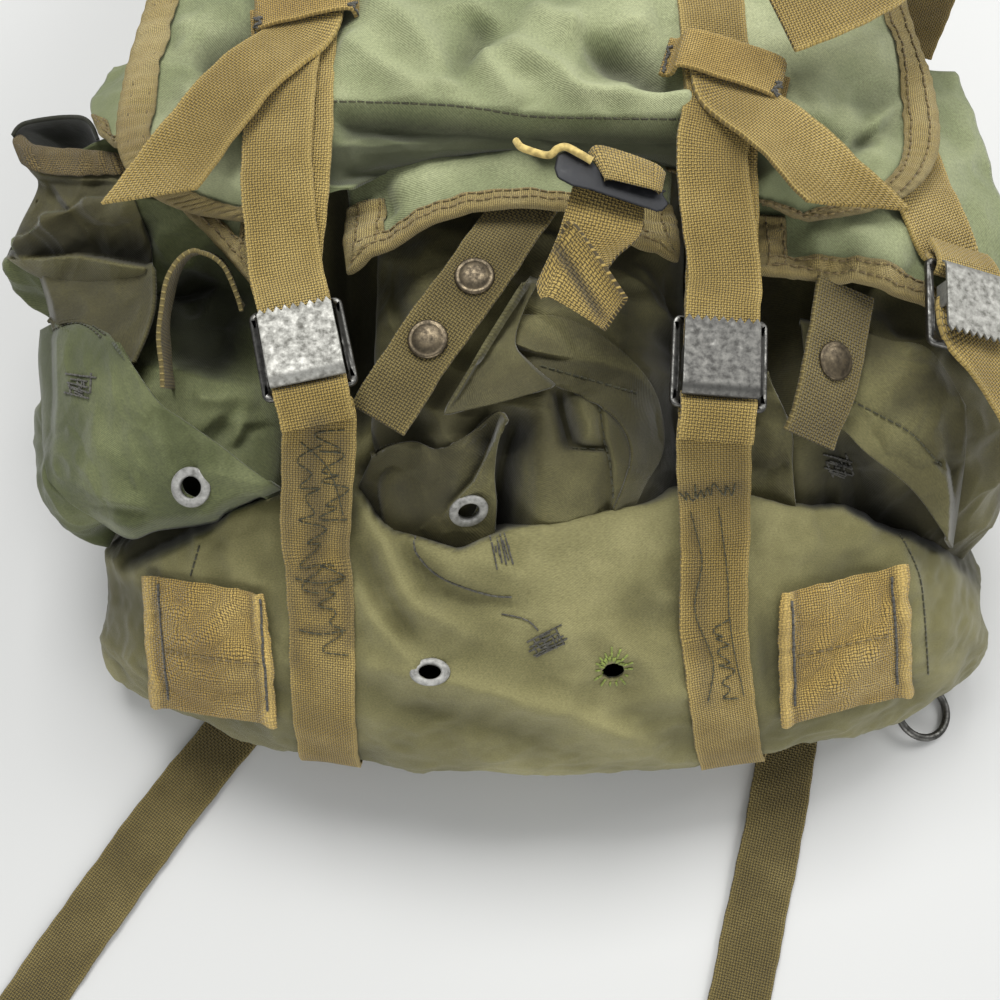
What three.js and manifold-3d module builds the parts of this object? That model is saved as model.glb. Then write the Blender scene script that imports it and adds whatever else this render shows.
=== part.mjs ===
// Military field rucksack of nylon cloth, half empty, lying on its back.
// Millimetres, +Z up. The back panel rests on z = 0 and the pack's top points to +Y.
import * as THREE from 'three';
import { mergeVertices } from 'three/addons/utils/BufferGeometryUtils.js';
import ManifoldModule from 'manifold-3d';

const wasm = await ManifoldModule();
wasm.setup();

// Driving sizes
const CLOTH = 1.8;
const TAPE = 0.9;
const TAPE_WIDTH = 11;
const WEBBING = 1.6;
const STRAP_WIDTH = 25.4;
const GAP = 0.5;
const SNAP_RADIUS = 7.2;
const SNAP_HEIGHT = 2.4;
const EYELET_OUTER = 8;
const EYELET_INNER = 4.4;
const EYELET_HEIGHT = 1.6;
const EYELET_LIFT = 1.2;
const RING_RADIUS = 12.2;
const RING_WIRE = 1.6;
const BUCKLE_WIDTH = 33;
const BUCKLE_LENGTH = 35;
const BUCKLE_RAIL = 3.2;
const BUCKLE_STEEL = 2;
const PLATE_WIDTH = 29;
const PLATE_LENGTH = 23;
const PLATE_TEETH = 7;
const TOOTH_DEPTH = 1.8;
const PLATE_LIFT = 7;
const EAR_WIDTH = 1.2;
const EAR_LENGTH = 8;
const TIE_RADIUS = 2;
const SLIDER_WIDTH = 38;
const SLIDER_LENGTH = 22;
const SLIDER_HEIGHT = 4;
const SLOT_WIDTH = 27;
const SLOT_LENGTH = 5;
const SLOT_MIDDLE = 4.5;
const BUCKLE_CORNER = 3;
const BUCKLE_INNER_CORNER = 1;
const SLIDER_CORNER = 4;
const SLIDER_WEB_WIDTH = 24;
const PLATE_SHIFT = -1;
const EAR_OVERLAP = 1;
const DRILL_LENGTH = 14;
const MOUTH_TAPE_RUN = 150;
const POCKET_FLAT_WIDTH = 100;
const FLAP_MIDDLE = 3;
const LOOP_LIFT = 1.2;
const BINDING_LIFT = 0.9;
const MOUTH_EXTRA = 12;
const SECTION_RUN = 29;

// Mesh fineness, in cells
const BAG_ACROSS = 24;
const BAG_ALONG = 26;
const POCKET_ACROSS = 10;
const POCKET_ALONG = 14;
const FLAP_ACROSS = 10;
const FLAP_ALONG = 16;
const SMALL_FLAP_ACROSS = 8;
const SMALL_FLAP_ALONG = 6;
const STEPS_PER_ROW = 2;
const LOOP_ACROSS = 4;
const LOOP_ALONG = 4;
const ROUND_STEPS = 12;
const CORNER_STEPS = 2;
const RING_SIDES = 6;
const RING_STEPS = 16;
const TIE_STEPS = 6;
const TIE_ROUND_STEPS = 3;
const SOLVE_TURNS = 40;
const SHARE_STEP = 0.004;
const ROW_REACH = 5;

// Colours
const OLIVE = 0x6b6a48;
const SAGE = 0x83906c;
const TAN = 0xb09a62;
const KHAKI = 0x8f7e48;
const DARK_OLIVE = 0x4f4728;
const STEEL = 0x8c8a80;
const BRONZE = 0x4a4434;
const ZINC = 0x96958c;
const BLACK = 0x242424;

// Turns rows of numbers into rows with named columns
function table(columns, rows) {
  return rows.map((row) => Object.fromEntries(columns.map((column, index) => [column, row[index]])));
}

// Sections of the sack from the floor edge of the bottom panel to the mouth
const BAG_SECTIONS = table(
  ['feetY', 'crownY', 'halfWidth', 'height', 'squareness', 'middle'],
  [
    [-196, -196, 148, 0, 1.75, 6],
    [-196, -227, 163, 18, 1.75, 7],
    [-195, -240, 175, 44, 1.75, 8],
    [-192, -233, 185, 72, 1.85, 10],
    [-188, -212, 193, 98, 2.05, 11],
    [-180, -182, 196, 118, 2.3, 11],
    [-160, -152, 194, 125, 2.6, 9],
    [-128, -133, 189, 113, 2.6, 7],
    [-90, -92, 187, 109, 2.6, 6],
    [-40, -40, 188, 115, 2.6, 6],
    [40, 40, 187, 134, 2.6, 6],
    [115, 115, 183, 140, 2.6, 6],
    [185, 185, 173, 128, 2.6, 6],
    [240, 240, 158, 108, 2.6, 6],
  ],
);
const LAST_SECTION = BAG_SECTIONS.length - 1;
const BOTTOM_TURN = 2 / LAST_SECTION;
const CREST_SHARE = 6 / LAST_SECTION;

// Folds and dents of the sack's cloth: x in plan and the way along the cloth from the floor edge
const FOLD_COLUMNS = ['fromX', 'fromY', 'toX', 'toY', 'height', 'width'];
const BAG_FOLDS = table(FOLD_COLUMNS, [
  [-14, 180, -6, 150, -9, 26],
  [-28, 119, 42, 87, 3, 14],
  [18, 129, 63, 102, 3, 13],
  [-62, 150, -38, 118, 3, 13],
  [-152, 164, -150, 100, -6, 15],
  [145, 168, 151, 105, -4, 13],
]);

// Sections of each pocket from its lower seam to its mouth, as a bulge above the sack
const POCKET_COLUMNS = ['y', 'fromAngle', 'toAngle', 'bulge'];
const POCKETS = {
  left: table(POCKET_COLUMNS, [
    [-134, 28, 62, 0],
    [-143, 26, 63, 12],
    [-146, 24, 64, 26],
    [-138, 22, 65, 42],
    [-118, 21, 65, 49],
    [-95, 21, 65, 50],
    [-72, 21, 65, 42],
    [-56, 21, 65, 34],
    [-42, 19, 65, 70],
    [-28, 19, 65, 44],
    [-7, 18, 65, 54],
  ]),
  centre: table(POCKET_COLUMNS, [
    [-146, 78, 102, 0],
    [-147, 77.5, 102.5, 9],
    [-144, 77, 103, 19],
    [-136, 77, 103, 30],
    [-122, 76, 103, 38],
    [-102, 76, 103, 38],
    [-80, 76, 103, 42],
    [-50, 76, 103, 38],
    [-14, 76, 103, 36],
  ]),
  right: table(POCKET_COLUMNS, [
    [-140, 115, 152, 0],
    [-142, 114, 154, 12],
    [-140, 113, 156, 26],
    [-131, 112, 158, 40],
    [-110, 112, 159, 50],
    [-84, 112, 159, 50],
    [-52, 112, 159, 46],
    [-10, 112, 159, 41],
  ]),
};

// Folds and dents of the pockets: the way across the flat pocket and y in plan
const POCKET_FOLDS = {
  left: table(FOLD_COLUMNS, [
    [62, -45, 60, -128, -10, 12],
    [18, -104, 40, -84, 4, 14],
  ]),
  centre: table(FOLD_COLUMNS, [
    [14, -134, 40, -114, 7, 14],
    [53, -104, 46, -138, -13, 11],
    [60, -78, 88, -100, 6, 12],
    [88, -100, 86, -132, 6, 12],
  ]),
  right: table(FOLD_COLUMNS, [
    [50, -104, 84, -134, -9, 12],
    [22, -78, 74, -136, 6, 12],
  ]),
};
const POCKET_SQUARENESS = 2.4;
const POCKET_LIFT = 1.5;

// Sections of the storm flap from its lower edge to its root behind the mouth
const STORM_FLAP = table(
  ['y', 'height', 'halfWidth', 'droop', 'midBack'],
  [
    [-58, 180, 100, 11, 16],
    [-54, 183, 123, 14, 10],
    [-44, 187, 141, 17, 5],
    [-26, 190, 151, 20, 0],
    [5, 191, 153, 24, 0],
    [50, 188, 150, 27, 0],
    [110, 181, 148, 28, 0],
    [172, 170, 146, 26, 0],
    [228, 150, 143, 20, 0],
    [258, 112, 138, 12, 0],
    [266, 58, 130, 4, 0],
    [258, 10, 120, 0, 0],
  ],
);
const FLAP_TOP_SHARE = 8 / 11;

// Each pocket flap from its bound edge to its sewn root, left and right end of each row
const FLAP_COLUMNS = ['leftX', 'leftY', 'leftZ', 'rightX', 'rightY', 'rightZ', 'crown', 'midBack'];
const POCKET_FLAPS = {
  left: table(FLAP_COLUMNS, [
    [-163, -9, 156, -97, -79, 160, 7, 0],
    [-172, 12, 146, -91, -10, 163, 8, 0],
    [-168, 36, 138, -91, 36, 160, 8, 0],
  ]),
  centre: table(FLAP_COLUMNS, [
    [-52, -72, 158, 57, -68, 158, 16, 16],
    [-60, -12, 158, 56, -14, 158, 7, 0],
    [-58, 30, 158, 56, 30, 158, 4, 0],
  ]),
  right: table(FLAP_COLUMNS, [
    [87, -73, 159, 180, -98, 141, 11, 4],
    [87, -20, 160, 188, -30, 141, 8, 0],
    [88, 34, 158, 180, 34, 137, 5, 0],
  ]),
};

// Reads a table of sections at any share of its length
function sectionAt(sections, share) {
  const last = sections.length - 1;
  const place = THREE.MathUtils.clamp(share, 0, 1) * last;
  const index = Math.min(Math.floor(place), last - 1);
  const step = place - index;
  const near = (shift) => sections[THREE.MathUtils.clamp(index + shift, 0, last)];
  const result = {};
  for (const column of Object.keys(sections[0])) {
    const [before, start, end, after] = [near(-1)[column], near(0)[column], near(1)[column], near(2)[column]];
    const bend = 2 * before - 5 * start + 4 * end - after;
    const twist = -before + 3 * start - 3 * end + after;
    result[column] = start + 0.5 * step * (end - before + step * (bend + step * twist));
  }
  return result;
}

// Height of the folds at a place on flat cloth, each a ridge or a dent along a line
function foldHeight(folds, x, y) {
  let height = 0;
  for (const fold of folds) {
    const [wayX, wayY] = [fold.toX - fold.fromX, fold.toY - fold.fromY];
    const along = ((x - fold.fromX) * wayX + (y - fold.fromY) * wayY) / (wayX * wayX + wayY * wayY);
    const share = THREE.MathUtils.clamp(along, 0, 1);
    const distance = Math.hypot(x - fold.fromX - share * wayX, y - fold.fromY - share * wayY);
    height += fold.height * Math.exp(-((distance / fold.width) ** 2));
  }
  return height;
}

// Unit normal of a surface of two shares
function normalOf(pointAt, u, v) {
  const alongU = pointAt(Math.min(u + SHARE_STEP, 1), v).sub(pointAt(Math.max(u - SHARE_STEP, 0), v));
  const alongV = pointAt(u, Math.min(v + SHARE_STEP, 1)).sub(pointAt(u, Math.max(v - SHARE_STEP, 0)));
  return alongU.cross(alongV).normalize();
}

// Smooth sack without folds at an angle round its arch, 0 at the left foot and 180 degrees at the right
function smoothBagPoint(angle, share) {
  const row = sectionAt(BAG_SECTIONS, share);
  const power = 2 / row.squareness;
  const across = Math.sign(Math.cos(angle)) * Math.abs(Math.cos(angle)) ** power;
  const rise = Math.max(Math.sin(angle), 0) ** power;
  return new THREE.Vector3(
    row.middle - row.halfWidth * across,
    row.feetY + (row.crownY - row.feetY) * rise,
    row.height * rise,
  );
}

// Point of the sack with its folds
function bagPoint(angle, share) {
  const place = smoothBagPoint(angle, share);
  const fold = foldHeight(BAG_FOLDS, place.x, share * LAST_SECTION * SECTION_RUN) * Math.sin(angle);
  const normal = normalOf((u, v) => smoothBagPoint(u * Math.PI, v), angle / Math.PI, share);
  return place.addScaledVector(normal, fold);
}

// Arch angle of a place on the sack with a given x
function angleAtX(x, share) {
  const row = sectionAt(BAG_SECTIONS, share);
  const across = x - row.middle;
  const reach = Math.min(Math.abs(across) / row.halfWidth, 1) ** (row.squareness / 2);
  return Math.acos(-Math.sign(across) * reach);
}

function solveShare(low, high, isBelow) {
  let [start, end] = [low, high];
  for (let turn = 0; turn < SOLVE_TURNS; turn += 1) {
    const middle = (start + end) / 2;
    if (isBelow(middle)) {
      start = middle;
    } else {
      end = middle;
    }
  }
  return start;
}

// Share of the sack's length where its front reaches y, or its bottom panel a height
const shareAtY = (y) => solveShare(BOTTOM_TURN, 1, (share) => sectionAt(BAG_SECTIONS, share).crownY < y);
const shareAtHeight = (z) => solveShare(0, CREST_SHARE, (share) => sectionAt(BAG_SECTIONS, share).height < z);

function bagNormal(angle, share) {
  return normalOf((u, v) => bagPoint(u * Math.PI, v), angle / Math.PI, share);
}

function aboveBag(angle, share, offset) {
  return bagPoint(angle, share).addScaledVector(bagNormal(angle, share), offset);
}

// Inside of the sack's cloth, which stays above its floor
function insideBag(angle, share) {
  const place = aboveBag(angle, share, -CLOTH);
  place.z = Math.max(place.z, CLOTH);
  return place;
}

// Point above the bottom panel or front at a given x
function aboveBagAtX(x, share, offset) {
  return aboveBag(angleAtX(x, share), share, offset);
}

// Point of a pocket, which stands out from the sack square to its length
function pocketPoint(side, u, v) {
  const row = sectionAt(POCKETS[side], v);
  const angle = THREE.MathUtils.degToRad(THREE.MathUtils.lerp(row.fromAngle, row.toAngle, u));
  const share = shareAtY(row.y);
  const arch = (1 - Math.abs(2 * u - 1) ** POCKET_SQUARENESS) ** (1 / POCKET_SQUARENESS);
  const fold = foldHeight(POCKET_FOLDS[side], u * POCKET_FLAT_WIDTH, row.y);
  const bulge = Math.max(row.bulge + fold, 0) * arch;
  const way = smoothBagPoint(angle + SHARE_STEP, share).sub(smoothBagPoint(angle - SHARE_STEP, share));
  const outward = new THREE.Vector3(-way.z, 0, way.x).normalize();
  return bagPoint(angle, share).addScaledVector(outward, POCKET_LIFT + CLOTH + bulge);
}

function stormFlapPoint(u, v) {
  const row = sectionAt(STORM_FLAP, v);
  const side = 2 * u - 1;
  const middle = 1 - side * side;
  return new THREE.Vector3(
    FLAP_MIDDLE + side * row.halfWidth,
    row.y + row.midBack * middle,
    row.height - row.droop * side * side,
  );
}

function pocketFlapPoint(sections, u, v) {
  const row = sectionAt(sections, v);
  const middle = Math.sin(Math.PI * u);
  return new THREE.Vector3(
    THREE.MathUtils.lerp(row.leftX, row.rightX, u),
    THREE.MathUtils.lerp(row.leftY, row.rightY, u) + row.midBack * middle,
    THREE.MathUtils.lerp(row.leftZ, row.rightZ, u) + row.crown * middle,
  );
}

// Solids from points and triangles
function signedVolume(points, faces) {
  let volume = 0;
  for (const [a, b, c] of faces) {
    volume += points[a].dot(points[b].clone().cross(points[c]));
  }
  return volume / 6;
}

function geometryFrom(points, faces) {
  const turned = signedVolume(points, faces) < 0;
  const ordered = turned ? faces.map(([a, b, c]) => [a, c, b]) : faces;
  const geometry = new THREE.BufferGeometry();
  const places = points.flatMap((point) => point.toArray());
  geometry.setAttribute('position', new THREE.Float32BufferAttribute(places, 3));
  geometry.setIndex(ordered.flat());
  return geometry;
}

// Closed sheet below a surface of two shares
function sheetSolid(pointAt, across, along, thickness) {
  const points = [];
  const under = [];
  for (let row = 0; row <= along; row += 1) {
    for (let column = 0; column <= across; column += 1) {
      const [u, v] = [column / across, row / along];
      const place = pointAt(u, v);
      points.push(place);
      under.push(place.clone().addScaledVector(normalOf(pointAt, u, v), -thickness));
    }
  }
  const count = points.length;
  const faces = [];
  const quad = (a, b, c, d) => faces.push([a, b, c], [a, c, d]);
  const at = (column, row) => row * (across + 1) + column;
  for (let row = 0; row < along; row += 1) {
    for (let column = 0; column < across; column += 1) {
      const corners = [at(column, row), at(column + 1, row), at(column + 1, row + 1), at(column, row + 1)];
      quad(...corners);
      quad(...corners.map((corner) => corner + count).reverse());
    }
  }
  const rim = (a, b) => quad(b, a, a + count, b + count);
  for (let column = 0; column < across; column += 1) {
    rim(at(column, 0), at(column + 1, 0));
    rim(at(column + 1, along), at(column, along));
  }
  for (let row = 0; row < along; row += 1) {
    rim(at(across, row), at(across, row + 1));
    rim(at(0, row + 1), at(0, row));
  }
  return geometryFrom(points.concat(under), faces);
}

// Closed dome of the sack, with its floor and its mouth filled
function bagDome(pointAt, mouthExtra) {
  const points = [];
  for (let row = 0; row <= BAG_ALONG; row += 1) {
    for (let column = 0; column <= BAG_ACROSS; column += 1) {
      const place = pointAt((column / BAG_ACROSS) * Math.PI, row / BAG_ALONG);
      if (row === BAG_ALONG) {
        place.y += mouthExtra;
      }
      points.push(place);
    }
  }
  const at = (column, row) => row * (BAG_ACROSS + 1) + column;
  const faces = [];
  for (let row = 0; row < BAG_ALONG; row += 1) {
    for (let column = 0; column < BAG_ACROSS; column += 1) {
      faces.push([at(column, row), at(column + 1, row), at(column + 1, row + 1)]);
      faces.push([at(column, row), at(column + 1, row + 1), at(column, row + 1)]);
    }
  }
  const rightFeet = [];
  const leftFeet = [];
  for (let row = 1; row <= BAG_ALONG; row += 1) {
    rightFeet.push(at(BAG_ACROSS, row));
    leftFeet.unshift(at(0, row));
  }
  const firstRow = Array.from({ length: BAG_ACROSS + 1 }, (_, column) => at(column, 0));
  const lastRow = Array.from({ length: BAG_ACROSS + 1 }, (_, column) => at(column, BAG_ALONG));
  const fill = (border, flatten, flip) => {
    const outline = border.map((index) => flatten(points[index]));
    for (const [a, b, c] of THREE.ShapeUtils.triangulateShape(outline, [])) {
      faces.push(flip ? [border[a], border[c], border[b]] : [border[a], border[b], border[c]]);
    }
  };
  fill([...firstRow, ...rightFeet, ...leftFeet], (point) => new THREE.Vector2(point.x, point.y), true);
  fill(lastRow, (point) => new THREE.Vector2(point.x, point.z), true);
  return geometryFrom(points, faces);
}

// Booleans
function toManifold(geometry) {
  const bare = geometry.clone();
  bare.deleteAttribute('normal');
  bare.deleteAttribute('uv');
  const merged = mergeVertices(bare, 1e-4);
  return new wasm.Manifold(new wasm.Mesh({
    numProp: 3,
    vertProperties: new Float32Array(merged.attributes.position.array),
    triVerts: new Uint32Array(merged.index.array),
  }));
}

function fromManifold(solid) {
  const mesh = solid.getMesh();
  const geometry = new THREE.BufferGeometry();
  geometry.setAttribute('position', new THREE.BufferAttribute(new Float32Array(mesh.vertProperties), 3));
  geometry.setIndex(new THREE.BufferAttribute(new Uint32Array(mesh.triVerts), 1));
  return geometry;
}

// Turns a shape that stands on +Z so that it stands along a normal at a place
function standOn(geometry, place, normal) {
  const turn = new THREE.Quaternion().setFromUnitVectors(new THREE.Vector3(0, 0, 1), normal);
  return geometry.clone().applyQuaternion(turn).translate(place.x, place.y, place.z);
}

function pierced(geometry, holes) {
  let solid = toManifold(geometry);
  for (const { place, normal } of holes) {
    const drill = new THREE.CylinderGeometry(EYELET_INNER, EYELET_INNER, DRILL_LENGTH, ROUND_STEPS);
    solid = solid.subtract(toManifold(standOn(drill.rotateX(Math.PI / 2), place, normal)));
  }
  return fromManifold(solid);
}

// Flat ribbon along a path whose rows give the place, and how its width turns in plan and tilts
const RIBBON_COLUMNS = ['x', 'y', 'z', 'yaw', 'tilt'];
function widthWay(row) {
  const [yaw, tilt] = [THREE.MathUtils.degToRad(row.yaw), THREE.MathUtils.degToRad(row.tilt)];
  const flat = Math.cos(tilt);
  return new THREE.Vector3(Math.cos(yaw) * flat, Math.sin(yaw) * flat, Math.sin(tilt));
}
function ribbonSolid(rows, width, thickness, steps) {
  const points = [];
  const placeAt = (share) => {
    const row = sectionAt(rows, share);
    return new THREE.Vector3(row.x, row.y, row.z);
  };
  for (let step = 0; step <= steps; step += 1) {
    const share = step / steps;
    const place = placeAt(share);
    const ahead = placeAt(share + SHARE_STEP).sub(placeAt(share - SHARE_STEP)).normalize();
    const side = widthWay(sectionAt(rows, share));
    side.addScaledVector(ahead, -side.dot(ahead)).normalize();
    const up = side.clone().cross(ahead);
    for (const [sideSign, upSign] of [[-1, -1], [1, -1], [1, 1], [-1, 1]]) {
      const corner = place.clone().addScaledVector(side, (sideSign * width) / 2);
      points.push(corner.addScaledVector(up, (upSign * thickness) / 2));
    }
  }
  const faces = [[0, 1, 2], [0, 2, 3]];
  for (let step = 0; step < steps; step += 1) {
    for (let corner = 0; corner < 4; corner += 1) {
      const [a, b] = [step * 4 + corner, step * 4 + ((corner + 1) % 4)];
      faces.push([b, a, a + 4], [b, a + 4, b + 4]);
    }
  }
  const end = steps * 4;
  faces.push([end, end + 2, end + 1], [end, end + 3, end + 2]);
  return geometryFrom(points, faces);
}

// Bound edge of a flap: a tape strip along its lower edge and part of its two sides
const CORNER_SHARE = 0.36;
function bindingSolid(pointAt, { sideShare, width, length, steps }) {
  const insetU = TAPE_WIDTH / width;
  const insetV = TAPE_WIDTH / length;
  const turn = CORNER_SHARE;
  const border = (share) => {
    if (share < turn) {
      const v = THREE.MathUtils.lerp(sideShare, 0, share / turn);
      return { u: 0, v, innerU: insetU, innerV: Math.max(v, insetV) };
    }
    if (share > 1 - turn) {
      const v = THREE.MathUtils.lerp(0, sideShare, (share - 1 + turn) / turn);
      return { u: 1, v, innerU: 1 - insetU, innerV: Math.max(v, insetV) };
    }
    const u = (share - turn) / (1 - 2 * turn);
    return { u, v: 0, innerU: THREE.MathUtils.clamp(u, insetU, 1 - insetU), innerV: insetV };
  };
  const tapePoint = (share, inward) => {
    const spot = border(share);
    const u = THREE.MathUtils.lerp(spot.u, spot.innerU, inward);
    const v = THREE.MathUtils.lerp(spot.v, spot.innerV, inward);
    return pointAt(u, v).addScaledVector(normalOf(pointAt, u, v), BINDING_LIFT + TAPE);
  };
  return sheetSolid(tapePoint, steps, 1, TAPE);
}

// Pieces
const group = new THREE.Group();

function addPiece(name, geometry, color, roughness, metalness = 0) {
  const material = new THREE.MeshStandardMaterial({ color, roughness, metalness });
  const mesh = new THREE.Mesh(geometry, material);
  mesh.name = name;
  group.add(mesh);
}
const addCloth = (name, geometry, color) => addPiece(name, geometry, color, 0.9);
const addMetal = (name, geometry, color) => addPiece(name, geometry, color, 0.4, 0.9);

// Main sack with one eyelet hole and one frayed hole in the bottom panel
const PANEL_HOLES = { eyelet: { x: -34, height: 101 }, frayed: { x: 34, height: 101 } };
function holeOnBag({ x, height }) {
  const share = shareAtHeight(height);
  const angle = angleAtX(x, share);
  return { place: bagPoint(angle, share), normal: bagNormal(angle, share) };
}
const bottomEyelet = holeOnBag(PANEL_HOLES.eyelet);
const frayedHole = holeOnBag(PANEL_HOLES.frayed);
const shell = toManifold(bagDome(bagPoint, 0)).subtract(toManifold(bagDome(insideBag, MOUTH_EXTRA)));
addCloth('bag_body', pierced(fromManifold(shell), [bottomEyelet, frayedHole]), OLIVE);

// Pockets, two of them with an eyelet near the lower seam
const POCKET_HOLES = { left: { u: 0.85, v: 0.235 }, centre: { u: 0.34, v: 0.18 } };
function pocketHole(side) {
  const surface = (u, v) => pocketPoint(side, u, v);
  const { u, v } = POCKET_HOLES[side];
  return { place: surface(u, v), normal: normalOf(surface, u, v) };
}
const pocketEyelets = { left: pocketHole('left'), centre: pocketHole('centre') };
for (const side of Object.keys(POCKETS)) {
  const surface = (u, v) => pocketPoint(side, u, v);
  const wall = sheetSolid(surface, POCKET_ACROSS, POCKET_ALONG, CLOTH);
  const holes = side in pocketEyelets ? [pocketEyelets[side]] : [];
  addCloth(`pocket_${side}`, pierced(wall, holes), OLIVE);
}

// Eyelets: flat rolled rings on the outside of the cloth
const EYELET_ROUNDING = 0.8;
const EYELET_SHOULDER = EYELET_HEIGHT - EYELET_ROUNDING / 2;
function eyeletGeometry() {
  const profile = [
    [EYELET_INNER, 0],
    [EYELET_OUTER, 0],
    [EYELET_OUTER - EYELET_ROUNDING, EYELET_SHOULDER],
    [(EYELET_INNER + EYELET_OUTER) / 2, EYELET_HEIGHT],
    [EYELET_INNER, EYELET_SHOULDER],
    [EYELET_INNER, 0],
  ];
  const outline = profile.map(([radius, height]) => new THREE.Vector2(radius, height));
  return new THREE.LatheGeometry(outline, ROUND_STEPS).rotateX(Math.PI / 2);
}
function addEyelet(name, { place, normal }) {
  const seat = place.clone().addScaledVector(normal, EYELET_LIFT);
  addMetal(name, standOn(eyeletGeometry(), seat, normal), ZINC);
}
addEyelet('eyelet_bottom', bottomEyelet);
addEyelet('eyelet_pocket_left', pocketEyelets.left);
addEyelet('eyelet_pocket_centre', pocketEyelets.centre);

// Storm flap and its bound edge
addCloth('storm_flap', sheetSolid(stormFlapPoint, FLAP_ACROSS, FLAP_ALONG, CLOTH), SAGE);
const STORM_BINDING = { sideShare: 0.62, width: 250, length: 460, steps: 36 };
addCloth('storm_flap_binding', bindingSolid(stormFlapPoint, STORM_BINDING), TAN);

// Pocket flaps and their bound edges
const POCKET_BINDING = { sideShare: 0.7, width: 95, length: 105, steps: 20 };
for (const side of Object.keys(POCKET_FLAPS)) {
  const surface = (u, v) => pocketFlapPoint(POCKET_FLAPS[side], u, v);
  addCloth(`pocket_flap_${side}`, sheetSolid(surface, SMALL_FLAP_ACROSS, SMALL_FLAP_ALONG, CLOTH), SAGE);
  addCloth(`pocket_flap_binding_${side}`, bindingSolid(surface, POCKET_BINDING), TAN);
}

// Bound mouth of the left pocket
const MOUTH_TAPE_LIFT = 2;
const mouthTape = (u, inward) => {
  const surface = (a, b) => pocketPoint('left', a, b);
  const v = 1 - (1 - inward) * (TAPE_WIDTH / MOUTH_TAPE_RUN);
  return surface(u, v).addScaledVector(normalOf(surface, u, v), MOUTH_TAPE_LIFT + TAPE);
};
addCloth('pocket_mouth_binding_left', sheetSolid(mouthTape, POCKET_ACROSS, 1, TAPE), DARK_OLIVE);

// Tan loops sewn on the bottom panel, a little slack in the middle
const LOOPS = table(
  ['side', 'fromX', 'toX', 'lowHeight', 'topHeight', 'slack'],
  [
    ['left', -146, -96, 79, 121, 3],
    ['right', 103, 154, 79, 121, 3],
  ],
);
for (const loop of LOOPS) {
  const [low, top] = [shareAtHeight(loop.lowHeight), shareAtHeight(loop.topHeight)];
  const surface = (u, v) => {
    const x = THREE.MathUtils.lerp(loop.fromX, loop.toX, u);
    const offset = LOOP_LIFT + WEBBING + loop.slack * Math.sin(Math.PI * u);
    return aboveBagAtX(x, THREE.MathUtils.lerp(low, top, v), offset);
  };
  addCloth(`bottom_loop_${loop.side}`, sheetSolid(surface, LOOP_ACROSS, LOOP_ALONG, WEBBING), TAN);
}

// Buckle places: centre of the steel frame, turn in plan, side tilt
const BUCKLES = table(
  ['side', 'x', 'y', 'z', 'yaw', 'tilt'],
  [
    ['left', -75, -109, 170, 8, 0],
    ['right', 67, -117, 171, -5, 0],
    ['side', 158, -92, 163, 174, 18],
  ],
);
function buckleAxes(buckle) {
  const yaw = THREE.MathUtils.degToRad(buckle.yaw);
  const side = widthWay(buckle);
  const along = new THREE.Vector3(-Math.sin(yaw), Math.cos(yaw), 0);
  return { side, along, up: side.clone().cross(along) };
}
// Row of a ribbon given in the axes of a buckle
function buckleRow(buckle, along, up) {
  const axes = buckleAxes(buckle);
  const place = new THREE.Vector3(buckle.x, buckle.y, buckle.z);
  place.addScaledVector(axes.along, along).addScaledVector(axes.up, up);
  return { x: place.x, y: place.y, z: place.z, yaw: buckle.yaw, tilt: buckle.tilt };
}
function setInBuckle(geometry, buckle) {
  const axes = buckleAxes(buckle);
  const place = new THREE.Matrix4().makeBasis(axes.side, axes.along, axes.up);
  return geometry.applyMatrix4(place.setPosition(buckle.x, buckle.y, buckle.z));
}
function roundedOutline(target, width, length, radius) {
  const [w, l] = [width / 2, length / 2];
  target.moveTo(-w + radius, -l);
  target.lineTo(w - radius, -l);
  target.quadraticCurveTo(w, -l, w, -l + radius);
  target.lineTo(w, l - radius);
  target.quadraticCurveTo(w, l, w - radius, l);
  target.lineTo(-w + radius, l);
  target.quadraticCurveTo(-w, l, -w, l - radius);
  target.lineTo(-w, -l + radius);
  target.quadraticCurveTo(-w, -l, -w + radius, -l);
  return target;
}
function plateOf(outline, depth) {
  return new THREE.ExtrudeGeometry(outline, { depth, bevelEnabled: false, curveSegments: CORNER_STEPS });
}
function buckleFrame() {
  const outline = roundedOutline(new THREE.Shape(), BUCKLE_WIDTH, BUCKLE_LENGTH, BUCKLE_CORNER);
  const [width, length] = [BUCKLE_WIDTH - 2 * BUCKLE_RAIL, BUCKLE_LENGTH - 2 * BUCKLE_RAIL];
  outline.holes.push(roundedOutline(new THREE.Path(), width, length, BUCKLE_INNER_CORNER));
  return plateOf(outline, BUCKLE_STEEL).translate(0, 0, -BUCKLE_STEEL / 2);
}
// Toothed plate that grips the strap, its teeth toward the strap's free side
function bucklePlate() {
  const [half, length] = [PLATE_WIDTH / 2, PLATE_LENGTH / 2];
  const outline = new THREE.Shape();
  outline.moveTo(-half, -length);
  outline.lineTo(half, -length);
  outline.lineTo(half, length - TOOTH_DEPTH);
  for (let tooth = PLATE_TEETH; tooth > 0; tooth -= 1) {
    const pitch = PLATE_WIDTH / PLATE_TEETH;
    outline.lineTo(-half + (tooth - 0.5) * pitch, length);
    outline.lineTo(-half + (tooth - 1) * pitch, length - TOOTH_DEPTH);
  }
  let plate = toManifold(plateOf(outline, BUCKLE_STEEL).translate(0, PLATE_SHIFT, PLATE_LIFT));
  const earHeight = PLATE_LIFT - BUCKLE_STEEL / 2 - GAP + EAR_OVERLAP;
  for (const sign of [-1, 1]) {
    const ear = new THREE.BoxGeometry(EAR_WIDTH, EAR_LENGTH, earHeight);
    const earMiddle = PLATE_LIFT + EAR_OVERLAP - earHeight / 2;
    plate = plate.add(toManifold(ear.translate(sign * (half - EAR_WIDTH / 2), 0, earMiddle)));
  }
  return fromManifold(plate);
}

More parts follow.
